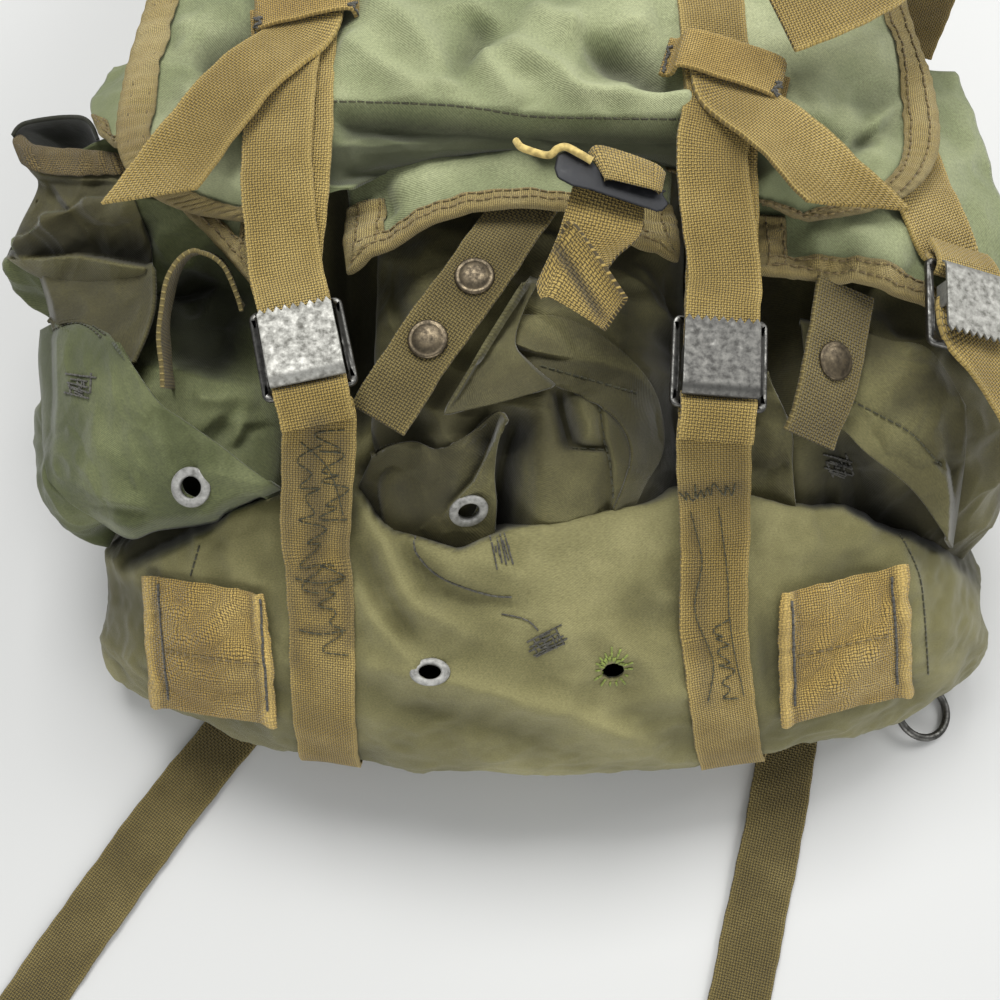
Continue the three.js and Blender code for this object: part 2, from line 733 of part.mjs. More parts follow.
// Straps that are looped through the buckles, as rows along and above each buckle
const LOOP_ROUND_BAR = table(
  ['along', 'up'],
  [
    [-27, -6.4],
    [-20, -3.2],
    [-15.6, -2.9],
    [-12.1, 0],
    [-15.6, 2.9],
    [-21, 1.4],
    [-28, -2.6],
  ],
);
const FOLD_UNDER_PLATE = table(
  ['along', 'up'],
  [
    [34, 2.6],
    [20, 2.4],
    [8, 2.4],
    [-1, 2.4],
    [-2.9, 3.9],
    [-1, 5.4],
    [8, 5.2],
    [20, 5.4],
    [34, 5.6],
  ],
);
const ribbonRow = (place, yaw = 0, tilt = 0) => ({ x: place.x, y: place.y, z: place.z, yaw, tilt });
const spot = (x, y, z) => new THREE.Vector3(x, y, z);
// Row whose width follows a direction
function rowAlong(place, side) {
  const unit = side.normalize();
  const yaw = THREE.MathUtils.radToDeg(Math.atan2(unit.y, unit.x));
  return ribbonRow(place, yaw, THREE.MathUtils.radToDeg(Math.asin(unit.z)));
}
// Row that lies flat on the sack at a given x
function bagRow(x, share, lift) {
  const side = aboveBagAtX(x + ROW_REACH, share, lift).sub(aboveBagAtX(x - ROW_REACH, share, lift));
  return rowAlong(aboveBagAtX(x, share, lift), side);
}
const addWebbing = (name, rows, width, color) => {
  addCloth(name, ribbonSolid(rows, width, WEBBING, (rows.length - 1) * STEPS_PER_ROW), color);
};

for (const buckle of BUCKLES) {
  addMetal(`buckle_frame_${buckle.side}`, setInBuckle(buckleFrame(), buckle), STEEL);
  addMetal(`buckle_plate_${buckle.side}`, setInBuckle(bucklePlate(), buckle), STEEL);
}
const [leftBuckle, rightBuckle, sideBuckle] = BUCKLES;

// Sewn straps that run up the bottom panel and hold the buckles
const PANEL_RUN = table(
  ['height', 'lift'],
  [
    [16, 1.8],
    [30, 1.8],
    [46, 1.8],
    [64, 1.8],
    [82, 1.8],
    [98, 1.8],
    [112, 2],
    [121, 3.4],
    [124.5, 8],
  ],
);
const SEWN_STRAPS = [
  { side: 'left', lowX: -80, crestX: -74, buckle: leftBuckle },
  { side: 'right', lowX: 87, crestX: 69, buckle: rightBuckle },
];
for (const strap of SEWN_STRAPS) {
  const rows = PANEL_RUN.map((row, index) => {
    const x = THREE.MathUtils.lerp(strap.lowX, strap.crestX, index / (PANEL_RUN.length - 1));
    return bagRow(x, shareAtHeight(row.height), row.lift);
  });
  const loop = LOOP_ROUND_BAR.map((row) => buckleRow(strap.buckle, row.along, row.up));
  addWebbing(`sewn_strap_${strap.side}`, rows.concat(loop), STRAP_WIDTH, KHAKI);
}

// Place on the storm flap at x and y, lifted along its normal
function onStormFlap(x, y, lift) {
  const rowY = (share) => {
    const row = sectionAt(STORM_FLAP, share);
    return row.y + row.midBack * (1 - ((x - FLAP_MIDDLE) / row.halfWidth) ** 2);
  };
  const v = solveShare(0, FLAP_TOP_SHARE, (share) => rowY(share) < y);
  const u = ((x - FLAP_MIDDLE) / sectionAt(STORM_FLAP, v).halfWidth + 1) / 2;
  return stormFlapPoint(u, v).addScaledVector(normalOf(stormFlapPoint, u, v), lift);
}

// Row that lies flat on the storm flap
function flapRow(x, y, lift) {
  const side = onStormFlap(x + ROW_REACH, y, lift).sub(onStormFlap(x - ROW_REACH, y, lift));
  return rowAlong(onStormFlap(x, y, lift), side);
}

// Closing straps: down the flap, folded under the buckle plate, back up and out as a free tail
const STRAP_DOWN = table(
  ['y', 'lift'],
  [
    [125, 1.4],
    [80, 1.4],
    [40, 1.5],
    [10, 1.6],
    [-18, 1.8],
    [-44, 3.6],
  ],
);
const UP_COLUMNS = ['y', 'lift', 'shift'];
const CLOSING_STRAPS = [
  {
    side: 'left',
    x: -76,
    buckle: leftBuckle,
    up: table(UP_COLUMNS, [
      [-44, 6.8, 5],
      [-18, 5, 4],
      [6, 3.8, 0],
      [18, 3.6, 0],
    ]),
    tail: table(RIBBON_COLUMNS, [
      [-77, 30, 188.2, -4, 10],
      [-78, 27.5, 189.7, -12, 10],
      [-79.5, 10, 189.4, -12, 9],
      [-99, -14, 191.6, -27, 4],
      [-118, -47, 189, -27, 0],
      [-137, -79, 184, -27, 0],
    ]),
  },
  {
    side: 'right',
    x: 70,
    buckle: rightBuckle,
    up: table(UP_COLUMNS, [
      [-44, 6.8, -4],
      [-30, 4.6, -2],
      [-20, 3.7, 0],
      [-12, 3.6, 0],
    ]),
    tail: table(RIBBON_COLUMNS, [
      [70.5, -3, 191.1, 4, -8],
      [72, -5.5, 192.3, 12, -8],
      [74, -21, 191.9, 14, -7],
      [92, -40, 193.4, 32, -4],
      [107, -60, 191.4, 32, 0],
      [121, -81, 188, 32, 0],
    ]),
  },
];
for (const strap of CLOSING_STRAPS) {
  const down = STRAP_DOWN.map((row) => flapRow(strap.x, row.y, row.lift));
  const fold = FOLD_UNDER_PLATE.map((row) => buckleRow(strap.buckle, row.along, row.up));
  const up = strap.up.map((row) => flapRow(strap.x + row.shift, row.y, row.lift));
  addWebbing(`closing_strap_${strap.side}`, [...down, ...fold, ...up, ...strap.tail], STRAP_WIDTH, KHAKI);
}

// Keepers across the closing straps
const KEEPER_WIDTH = 17;
const KEEPER_ARCH = table(
  ['across', 'lift'],
  [
    [-22, 1.8],
    [-19.4, 1.8],
    [-17.8, 4.4],
    [-15.8, 9],
    [0, 9.6],
    [15.8, 9],
    [17.8, 4.4],
    [19.4, 1.8],
    [22, 1.8],
  ],
);
const KEEPER_YAW = 90;
const KEEPER_PLACES = { left: { x: -79, y: 20 }, right: { x: 73, y: -12 } };
for (const [side, { x, y }] of Object.entries(KEEPER_PLACES)) {
  const rows = KEEPER_ARCH.map((row) => ribbonRow(onStormFlap(x + row.across, y, row.lift), KEEPER_YAW));
  addWebbing(`keeper_${side}`, rows, KEEPER_WIDTH, TAN);
}

// Side strap: a sewn upper piece round the buckle's bar and a free lower end under its plate
const SIDE_START = table(RIBBON_COLUMNS, [
  [146, -22, 161, 186, 12],
  [150, -44, 162.5, 180, 15],
]);
const SIDE_END = table(RIBBON_COLUMNS, [
  [182, -146, 141, 168, 24],
  [176, -135, 151, 170, 20],
]);
const SIDE_END_ROWS = 4;
const sideLoop = LOOP_ROUND_BAR.map((row) => buckleRow(sideBuckle, row.along, row.up));
addWebbing('side_strap_upper', [...SIDE_START, ...sideLoop], STRAP_WIDTH, KHAKI);
const sideFold = FOLD_UNDER_PLATE.slice(0, SIDE_END_ROWS);
const sideFree = sideFold.map((row) => buckleRow(sideBuckle, row.along, row.up));
addWebbing('side_strap_lower', [...SIDE_END, ...sideFree], STRAP_WIDTH, KHAKI);

// Free end of the upper side strap, standing over the storm flap
const UPPER_END = table(RIBBON_COLUMNS, [
  [90, -2, 205, -66, 0],
  [108, 4, 208, -62, 0],
  [128, 18, 207, -50, 0],
  [148, 42, 199, -34, 0],
  [166, 70, 180, -26, 0],
  [180, 92, 150, -22, 0],
  [188, 103, 108, -20, 0],
  [193, 108, 64, -20, 0],
]);
addWebbing('upper_strap_end', UPPER_END, STRAP_WIDTH, KHAKI);

// Snap tabs over the pockets, with their snap caps
const TAB_WIDTH = 20;
const TABS = {
  left: table(RIBBON_COLUMNS, [
    [-103, -84, 150, -70, 30],
    [-112, -72, 161, -60, 40],
    [-125, -72, 164, -86, 52],
    [-133, -84, 162, -120, 58],
    [-136, -102, 156, -140, 60],
    [-137, -118, 148, -150, 60],
  ]),
  centre: table(RIBBON_COLUMNS, [
    [6, -40, 163, -32, 0],
    [-5, -60, 166, -32, 0],
    [-17, -81, 167, -32, 0],
    [-34, -105, 163, -32, 0],
    [-51, -132, 157, -32, 0],
  ]),
  right: table(RIBBON_COLUMNS, [
    [119, -78, 156, 14, -20],
    [114, -100, 153, 16, -20],
    [109, -118, 150, 18, -20],
    [103, -134, 144, 18, -20],
  ]),
};
const SNAP_RIM = 0.8;
const SNAP_ROUNDING = 1.6;
const snapProfile = [
  [0, 0],
  [SNAP_RADIUS, 0],
  [SNAP_RADIUS, SNAP_RIM],
  [SNAP_RADIUS - SNAP_ROUNDING, SNAP_HEIGHT],
  [0, SNAP_HEIGHT],
];
function addSnap(name, side, share) {
  const row = sectionAt(TABS[side], share);
  const next = sectionAt(TABS[side], share + SHARE_STEP);
  const ahead = spot(next.x - row.x, next.y - row.y, next.z - row.z).normalize();
  const normal = ahead.cross(widthWay(row)).normalize();
  const place = spot(row.x, row.y, row.z).addScaledVector(normal, WEBBING / 2 + GAP);
  const outline = snapProfile.map(([radius, height]) => new THREE.Vector2(radius, height));
  const cap = new THREE.LatheGeometry(outline, ROUND_STEPS).rotateX(Math.PI / 2);
  addMetal(name, standOn(cap, place, normal), BRONZE);
}
for (const side of Object.keys(TABS)) {
  addWebbing(`snap_tab_${side}`, TABS[side], TAB_WIDTH, KHAKI);
}
const SNAP_SHARES = { centreUpper: 0.5, centreLower: 0.74, right: 0.45 };
addSnap('snap_centre_upper', 'centre', SNAP_SHARES.centreUpper);
addSnap('snap_centre_lower', 'centre', SNAP_SHARES.centreLower);
addSnap('snap_right', 'right', SNAP_SHARES.right);

// Plastic slide buckle with its webbing, in its own axes
const slider = { x: 29, y: -68, z: 197, yaw: -8, tilt: 0 };
const SLIDER_LEAN = THREE.MathUtils.degToRad(24);
function sliderSpot(along, up) {
  const axes = buckleAxes(slider);
  const lean = axes.along.clone().multiplyScalar(Math.cos(SLIDER_LEAN));
  lean.addScaledVector(axes.up, Math.sin(SLIDER_LEAN));
  const out = axes.side.clone().cross(lean);
  return spot(slider.x, slider.y, slider.z).addScaledVector(lean, along).addScaledVector(out, up);
}
function sliderFrame() {
  const outline = roundedOutline(new THREE.Shape(), SLIDER_WIDTH, SLIDER_LENGTH, SLIDER_CORNER);
  let frame = toManifold(plateOf(outline, SLIDER_HEIGHT).translate(0, 0, -SLIDER_HEIGHT / 2));
  for (const sign of [-1, 1]) {
    const slot = new THREE.BoxGeometry(SLOT_WIDTH, SLOT_LENGTH, 2 * SLIDER_HEIGHT);
    frame = frame.subtract(toManifold(slot.translate(0, sign * SLOT_MIDDLE, 0)));
  }
  return fromManifold(frame).rotateX(SLIDER_LEAN);
}
addPiece('slide_buckle', setInBuckle(sliderFrame(), slider), BLACK, 0.5);
const SLIDER_WEB = table(
  ['along', 'up'],
  [
    [24, -9],
    [17, -6.4],
    [11, -4.8],
    [6.5, -4.2],
    [4.4, -2.2],
    [4.6, 0.5],
    [3.6, 2.6],
    [0, 3.7],
    [-3.6, 2.6],
    [-4.6, 0.5],
    [-4.4, -2.2],
    [-6.5, -4.2],
    [-11, -4.6],
    [-22, -2],
    [-36, 6],
  ],
);
const sliderRows = SLIDER_WEB.map((row) => ribbonRow(sliderSpot(row.along, row.up), slider.yaw, slider.tilt));
addWebbing('slide_buckle_webbing', sliderRows, SLIDER_WEB_WIDTH, KHAKI);

// Short tie end beside the slide buckle
const tiePath = new THREE.CatmullRomCurve3([
  spot(-4, -41, 190.5),
  spot(2, -48, 192),
  spot(8, -53, 193.5),
  spot(13, -57, 194.5),
]);
const tieRound = new THREE.Shape().absarc(0, 0, TIE_RADIUS, 0, 2 * Math.PI);
const tieSettings = { extrudePath: tiePath, steps: TIE_STEPS, curveSegments: TIE_ROUND_STEPS };
addCloth('tie_end', new THREE.ExtrudeGeometry(tieRound, tieSettings), TAN);

// Steel ring on its webbing hanger at the lower right corner
const ringCentre = spot(185, -214, 4.6);
const RING_TILT = THREE.MathUtils.degToRad(13);
const ringWay = spot(1, -0.1, 0).normalize();
const ringAxis = spot(-ringWay.y, ringWay.x, 0);
const ring = new THREE.TorusGeometry(RING_RADIUS, RING_WIRE, RING_SIDES, RING_STEPS).applyMatrix4(
  new THREE.Matrix4().makeRotationAxis(ringAxis, RING_TILT),
);
addMetal('ring', ring.translate(ringCentre.x, ringCentre.y, ringCentre.z), STEEL);
const HANGER_WIDTH = 8;
const HANGER_LOOP = table(
  ['out', 'up'],
  [
    [-6.5, 3],
    [-3.8, 3.5],
    [0, 3.5],
    [3.9, 0],
    [0, -3.5],
    [-3.8, -2.9],
    [-6.5, -0.4],
  ],
);
const wirePlace = ringCentre.clone().addScaledVector(ringWay, -RING_RADIUS * Math.cos(RING_TILT));
wirePlace.z += RING_RADIUS * Math.sin(RING_TILT);
const hangerYaw = THREE.MathUtils.radToDeg(Math.atan2(ringAxis.y, ringAxis.x));
const hangerRows = HANGER_LOOP.map((row) => {
  const place = wirePlace.clone().addScaledVector(ringWay, row.out);
  place.z += row.up;
  return ribbonRow(place, hangerYaw);
});
addWebbing('ring_hanger', hangerRows, HANGER_WIDTH, KHAKI);

// Lower straps that lie on the ground
const FLOOR_WEB = WEBBING / 2 + 0.1;
const BASE_STRAPS = {
  left: table(RIBBON_COLUMNS, [
    [-123, -209, FLOOR_WEB, -24, 0],
    [-133, -222, 2, -30, 0],
    [-160, -260, 3, -33, 0],
    [-186, -300, 2, -33, 0],
    [-210, -338, FLOOR_WEB, -33, 0],
  ]),
  right: table(RIBBON_COLUMNS, [
    [124, -209, FLOOR_WEB, -10, 0],
    [120, -226, 2, -13, 0],
    [110, -264, 3, -15, 0],
    [99, -302, 2, -15, 0],
    [88, -342, FLOOR_WEB, -15, 0],
  ]),
};
for (const side of Object.keys(BASE_STRAPS)) {
  addWebbing(`base_strap_${side}`, BASE_STRAPS[side], STRAP_WIDTH, DARK_OLIVE);
}

export default group;
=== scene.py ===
import math

import bmesh
import bpy
import numpy as np
from mathutils import Matrix, Vector, noise
from mathutils.bvhtree import BVHTree


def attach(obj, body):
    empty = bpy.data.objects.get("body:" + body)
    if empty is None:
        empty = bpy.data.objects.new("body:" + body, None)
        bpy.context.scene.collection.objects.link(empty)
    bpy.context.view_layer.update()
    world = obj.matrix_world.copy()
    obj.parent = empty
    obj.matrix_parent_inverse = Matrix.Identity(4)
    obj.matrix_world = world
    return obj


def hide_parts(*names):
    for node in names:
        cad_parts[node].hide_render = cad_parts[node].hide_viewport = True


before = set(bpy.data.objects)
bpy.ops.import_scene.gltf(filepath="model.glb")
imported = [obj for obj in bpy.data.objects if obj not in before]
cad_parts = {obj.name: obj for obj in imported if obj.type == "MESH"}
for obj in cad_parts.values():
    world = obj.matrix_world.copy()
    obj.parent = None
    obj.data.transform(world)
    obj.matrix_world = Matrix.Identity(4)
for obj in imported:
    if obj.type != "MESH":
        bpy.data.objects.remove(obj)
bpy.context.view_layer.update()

MM = 0.001
CLOTH = 1.5
WEBBING = 1.6
STRAP_WIDTH = 25.4
TAPE_WIDTH = 11
STEP = 0.004

# Camera: the eye in millimetres, its tilt from straight down, and the picture's width in its own units
EYE = np.array([-8.0, -297.75, 530.95])
TILT = math.radians(20)
LENS = 42
SENSOR = 36
PICTURE = 1000
HALF_PICTURE = PICTURE / 2
FOCAL = LENS / SENSOR * PICTURE
AHEAD = np.array([0, math.sin(TILT), -math.cos(TILT)])
UPWARD = np.array([0, math.cos(TILT), math.sin(TILT)])
SIDEWAYS = np.array([1.0, 0, 0])


def set_camera():
    camera = bpy.data.cameras.new("camera")
    camera.lens = LENS
    camera.sensor_width = SENSOR
    holder = bpy.data.objects.new("camera", camera)
    holder.location = EYE * MM
    holder.rotation_euler = (TILT, 0, 0)
    bpy.context.scene.collection.objects.link(holder)
    bpy.context.scene.camera = holder


set_camera()


def seen_at(points):
    """Where the camera sees points, across and down the picture from 0 to 1000."""
    way = points - EYE
    depth = way @ AHEAD
    across = HALF_PICTURE + FOCAL * way[:, 0] / depth
    down = HALF_PICTURE - FOCAL * (way @ UPWARD) / depth
    return np.stack([across, down], axis=1)


def sight_lines(places):
    """Directions from the eye through places in the picture."""
    across = (places[:, 0:1] - HALF_PICTURE) / FOCAL
    rise = (HALF_PICTURE - places[:, 1:2]) / FOCAL
    way = AHEAD + SIDEWAYS * across + UPWARD * rise
    return way / np.linalg.norm(way, axis=1, keepdims=True)


# Sections of the sack: y of its feet and crown, half width, height, squareness of the arch, middle
BAG_SECTIONS = [
    [-196, -196, 148, 0, 1.75, 6],
    [-196, -227, 163, 18, 1.75, 7],
    [-195, -240, 175, 44, 1.75, 8],
    [-192, -233, 185, 72, 1.85, 10],
    [-188, -212, 193, 98, 2.05, 11],
    [-180, -182, 196, 118, 2.3, 11],
    [-160, -152, 194, 125, 2.6, 9],
    [-128, -133, 189, 113, 2.6, 7],
    [-90, -92, 187, 109, 2.6, 6],
    [-40, -40, 188, 115, 2.6, 6],
    [40, 40, 187, 146, 2.8, 6],
    [115, 115, 183, 160, 3.2, 6],
    [185, 185, 173, 148, 3.2, 6],
    [240, 240, 152, 112, 2.8, 6],
]
BOTTOM_TURN = 2 / 13
CREST_SHARE = 6 / 13

# Sections of each pocket from its lower seam to its mouth: y, arch angles of its sides, bulge
POCKETS = {
    "left": [
        [-134, 28, 62, 0],
        [-143, 26, 63, 12],
        [-146, 24, 64, 26],
        [-138, 22, 65, 42],
        [-118, 21, 65, 49],
        [-95, 21, 65, 50],
        [-72, 21, 65, 42],
        [-56, 21, 65, 34],
        [-42, 19, 65, 70],
        [-28, 19, 65, 44],
        [-7, 18, 65, 54],
    ],
    "centre": [
        [-146, 78, 102, 0],
        [-147, 77.5, 102.5, 9],
        [-144, 77, 103, 19],
        [-136, 77, 103, 30],
        [-122, 76, 103, 38],
        [-102, 76, 103, 38],
        [-80, 76, 103, 42],
        [-50, 76, 103, 38],
        [-14, 76, 103, 36],
    ],
    "right": [
        [-140, 115, 152, 0],
        [-142, 114, 154, 12],
        [-140, 113, 156, 26],
        [-131, 112, 158, 40],
        [-110, 112, 159, 50],
        [-84, 112, 159, 50],
        [-52, 112, 159, 46],
        [-10, 112, 159, 41],
    ],
}
POCKET_SQUARENESS = 2.4
POCKET_LIFT = 1.7

# Sections of the storm flap: y, height, half width, droop of its sides, pull-back of its middle
FLAP_MIDDLE = 3
STORM_FLAP = [
    [-58, 180, 100, 11, 16],
    [-54, 183, 123, 14, 10],
    [-44, 187, 141, 17, 5],
    [-26, 190, 151, 20, 0],
    [5, 191, 153, 24, 0],
    [50, 188, 150, 27, 0],
    [110, 181, 148, 28, 0],
    [172, 170, 146, 36, 0],
    [228, 150, 143, 34, 0],
    [258, 112, 138, 24, 0],
    [266, 58, 130, 10, 0],
    [258, 10, 120, 0, 0],
]
FLAP_TOP_SHARE = 8 / 11

# Pocket flaps from bound edge to root: left end, right end, crown, pull-back of the middle
POCKET_FLAPS = {
    "left": [
        [-163, -9, 156, -97, -79, 160, 7, 0],
        [-172, 12, 146, -91, -10, 163, 8, 0],
        [-168, 36, 138, -91, 36, 160, 8, 0],
    ],
    "centre": [
        [-64, -72, 157, 57, -68, 158, 16, 16],
        [-66, -12, 158, 56, -14, 158, 7, 0],
        [-58, 30, 158, 56, 30, 158, 4, 0],
    ],
    "right": [
        [87, -73, 159, 180, -98, 141, 11, 4],
        [87, -20, 160, 188, -30, 141, 8, 0],
        [88, 34, 158, 180, 34, 137, 5, 0],
    ],
}

# Folds as the camera sees them. Each has a height in millimetres and a reach in thousandths of the
# picture on the left of its line, the same on the right, and the line itself.
BAG_FOLDS = [
    [-34, 90, 5, 50, [
        (345, 470), (361, 484), (378, 512), (394, 525), (437, 540), (460, 547), (480, 537), (506, 525),
        (560, 514), (669, 495), (700, 490),
    ]],
    [-34, 90, 4, 40, [
        (720, 478), (736, 488), (767, 498), (807, 504), (845, 502), (879, 521), (908, 534), (948, 554),
        (968, 574), (982, 610),
    ]],
    [-30, 70, 4, 40, [(120, 575), (159, 552), (211, 526), (236, 508), (294, 488), (320, 480)]],
    [7, 12, 7, 15, [(348, 478), (357, 500), (386, 547), (410, 605), (441, 616), (478, 641)]],
    [7, 12, 7, 14, [(344, 576), (366, 610), (404, 654), (424, 668)]],
    [7, 12, 7, 16, [(343, 646), (374, 669), (456, 681), (521, 700), (560, 709), (647, 743), (670, 750)]],
    [-5, 14, -5, 14, [(370, 494), (404, 552), (436, 590), (490, 612)]],
    [-5, 12, -5, 12, [(352, 540), (382, 598), (416, 640)]],
    [-4, 14, -4, 14, [(348, 676), (400, 700), (470, 714), (540, 738), (600, 758)]],
    [4.2, 22, 4.2, 18, [(540, 632), (597, 632), (634, 653), (695, 715)]],
    [-6, 18, -6, 18, [(104, 560), (104, 620), (130, 700)]],
    [-17, 24, -17, 24, [(352, 150), (350, 300), (356, 400), (360, 455)]],
    [-30, 26, -30, 26, [(688, 250), (686, 400), (676, 495)]],
    [-3, 9, 4, 30, [(899, 534), (914, 563), (922, 594), (928, 690)]],
    [4, 22, 4, 22, [(955, 560), (972, 600), (962, 645)]],
    [1.8, 9, 1.8, 9, [(225, 690), (300, 722)]],
    [1.8, 9, 1.8, 9, [(215, 545), (262, 590)]],
    [-2.5, 10, -2.5, 10, [(278, 520), (276, 640), (290, 720)]],
    [-2.5, 10, -2.5, 10, [(668, 510), (688, 640), (700, 740)]],
    [-2.5, 10, -2.5, 10, [(744, 510), (764, 640), (772, 740)]],
    [1.6, 14, -1.4, 9, [(405, 536), (420, 560), (470, 592), (530, 606)]],
    [2.0, 14, 2.0, 14, [(760, 556), (840, 545), (893, 548)]],
    [2.2, 16, 2.2, 16, [(800, 735), (870, 725), (915, 700)]],
]
POCKET_FOLDS = {
    "left": [
        [-24, 60, -24, 60, [(170, 280), (215, 330), (205, 380)]],
        [6, 12, 6, 12, [(193, 399), (239, 396), (262, 404)]],
        [6, 12, -6, 12, [(233, 450), (245, 427), (292, 418)]],
        [-8, 20, -8, 20, [(215, 420), (250, 460), (280, 480)]],
        [-14, 30, -14, 30, [(60, 200), (110, 240), (150, 255)]],
        [-24, 18, -24, 18, [(158, 478), (192, 487), (226, 496)]],
    ],
    "centre": [
        [-22, 20, -22, 20, [(520, 405), (510, 440), (498, 475), (480, 520), (465, 545)]],
        [-17, 28, -17, 28, [(345, 200), (345, 300), (352, 400), (362, 450)]],
        [-30, 30, -30, 30, [(692, 300), (690, 400), (676, 480), (660, 510)]],
        [-12, 8, -10, 8, [(556, 388), (562, 415), (572, 450)]],
        [5, 16, 5, 16, [(580, 395), (588, 425), (586, 446)]],
        [-3, 5, 3, 10, [(614, 505), (611, 463), (605, 440), (600, 403)]],
        [-3, 6, 2, 10, [(570, 449), (608, 451)]],
        [4, 20, 4, 20, [(530, 470), (560, 480), (600, 485)]],
        [-6, 14, -6, 14, [(560, 262), (620, 290), (680, 300)]],
        [-8, 20, -8, 20, [(400, 260), (400, 330), (385, 390)]],
        [4, 6, 4, 6, [(380, 285), (392, 330), (390, 392)]],
    ],
    "right": [
        [-20, 30, -20, 30, [(826, 430), (862, 476), (920, 530), (950, 560)]],
        [3, 8, 3, 8, [(839, 468), (845, 490), (850, 505)]],
        [-3, 8, -3, 8, [(828, 470), (830, 490), (832, 505)]],
        [-3, 8, -3, 8, [(855, 470), (862, 490), (868, 505)]],
        [5, 18, 5, 18, [(965, 440), (982, 490), (985, 545)]],
        [-16, 26, -16, 26, [(745, 300), (752, 345), (775, 380)]],
        [-10, 20, -10, 20, [(805, 420), (810, 460), (812, 500)]],
    ],
}
FLAP_FOLDS = [
    [7, 18, 7, 18, [(365, -20), (382, 12), (411, 35), (446, 73), (460, 95)]],
    [-9, 18, -9, 18, [(448, 90), (455, 70), (468, 50), (485, 15)]],
    [6.5, 15, 6.5, 15, [(340, 50), (358, 56), (411, 88), (430, 100)]],
    [7, 15, 7, 15, [(480, 45), (490, 70), (522, 111)]],
    [7, 14, 7, 11, [(505, 40), (519, 60), (557, 76), (572, 94), (605, 98), (691, 106), (720, 107)]],
    [7, 18, 7, 18, [(535, 0), (548, 19), (583, 38), (627, 29), (660, 20)]],
    [-10, 18, -10, 18, [(570, 36), (583, 41), (634, 64), (690, 92)]],
    [4, 12, -5, 10, [(825, 170), (838, 153), (876, 128), (910, 100)]],
    [-9, 13, -9, 13, [(790, 128), (819, 137), (851, 138), (880, 130)]],
    [3, 26, 3, 26, [(790, 90), (840, 60), (915, 40)]],
    [2.5, 6, 2.5, 6, [(140, 58), (156, 62), (223, 70), (240, 72)]],
    [-8, 17, -8, 17, [(190, 62), (208, 59), (252, 32), (262, 10)]],
    [4, 30, 4, 30, [(170, 30), (210, 25), (250, 0)]],
    [0, 4, -13, 44, [(240, 106), (330, 107), (411, 109), (470, 113), (523, 121), (690, 125), (780, 128)]],
]
SMALL_FLAP_FOLDS = {
    "left": [[3, 22, 3, 22, [(110, 150), (150, 165), (200, 190)]]],
    "centre": [
        [5, 26, 5, 26, [(380, 195), (470, 175), (540, 160)]],
        [-4, 22, -4, 22, [(590, 195), (630, 205), (670, 225)]],
        [-3, 9, -3, 9, [(375, 170), (385, 195), (392, 215)]],
    ],
    "right": [
        [4, 26, 4, 26, [(820, 210), (860, 240), (905, 275)]],
        [-4, 20, -4, 20, [(775, 235), (810, 265), (850, 280)]],
        [4, 18, 4, 18, [(930, 120), (940, 180), (935, 240)]],
    ],
}
# Lines along which straps press the cloth flat
PANEL_PRESSED = [[(315, 400), (325, 760)], [(705, 420), (737, 760)]]
FLAP_PRESSED = [[(300, -120), (300, 300)], [(730, -120), (715, 320)]]
PRESS_REACH = 36
# Width of a fold's sharp edge in the picture, no finer than the cloth's grid
COARSE_EDGE = 6
FINE_EDGE = 2.6
# How a fold fades toward its ends and away from its line
FOLD_TAPER = 0.22
FOLD_FALL = 1.5
# Most wear and painted highlight on a crest, and most painted shade in a hollow
MOST_CREST_WEAR_AND_HIGHLIGHT = 0.6
MOST_PAINTED_SHADE = 0.75
# How far straps flatten the cloth, and how sharply that ends
PRESS_DEPTH = 0.85
PRESS_FALL = 6
# Random creases: size and height in millimetres
BAG_CREASES = [(46, 3.8), (18, 1.5), (7, 0.6)]
POCKET_CREASES = [(26, 4), (11, 1.2)]
FLAP_CREASES = [(52, 5), (22, 2.2), (9, 0.5)]
SMALL_FLAP_CREASES = [(30, 3.2), (12, 1.0)]


def rows_at(rows, shares):
    """Reads a table of rows smoothly at shares of its length."""
    rows = np.asarray(rows, dtype=float)
    last = len(rows) - 1
    place = np.clip(shares, 0, 1) * last
    index = np.minimum(place.astype(int), last - 1)
    step = (place - index)[:, None]
    before, start, end, after = (rows[np.clip(index + shift, 0, last)] for shift in (-1, 0, 1, 2))
    bend = 2 * before - 5 * start + 4 * end - after
    twist = -before + 3 * start - 3 * end + after
    return start + 0.5 * step * (end - before + step * (bend + step * twist))


def normals_of(place, u, v):
    across = place(np.minimum(u + STEP, 1), v) - place(np.maximum(u - STEP, 0), v)
    along = place(u, np.minimum(v + STEP, 1)) - place(u, np.maximum(v - STEP, 0))
    normal = np.cross(across, along)
    return normal / np.maximum(np.linalg.norm(normal, axis=1, keepdims=True), 1e-9)


def line_sides(line, places):
    """Distance from places in the picture to a line, its side with left negative, a fade at its ends."""
    best = np.full(len(places), np.inf)
    side = np.zeros(len(places))
    along = np.zeros(len(places))
    run = 0.0
    for start, end in zip(line, line[1:]):
        start = np.array(start, dtype=float)
        way = np.array(end) - start
        length = np.hypot(*way)
        share = np.clip((places - start) @ way / length ** 2, 0, 1)
        gap = places - start - share[:, None] * way
        distance = np.hypot(gap[:, 0], gap[:, 1])
        nearer = distance < best
        best = np.where(nearer, distance, best)
        side = np.where(nearer, np.sign(way[0] * gap[:, 1] - way[1] * gap[:, 0]), side)
        along = np.where(nearer, run + share * length, along)
        run += length
    inward = np.clip(np.minimum(along, run - along) / (FOLD_TAPER * run), 0, 1)
    return best, side, inward * (2 - inward)


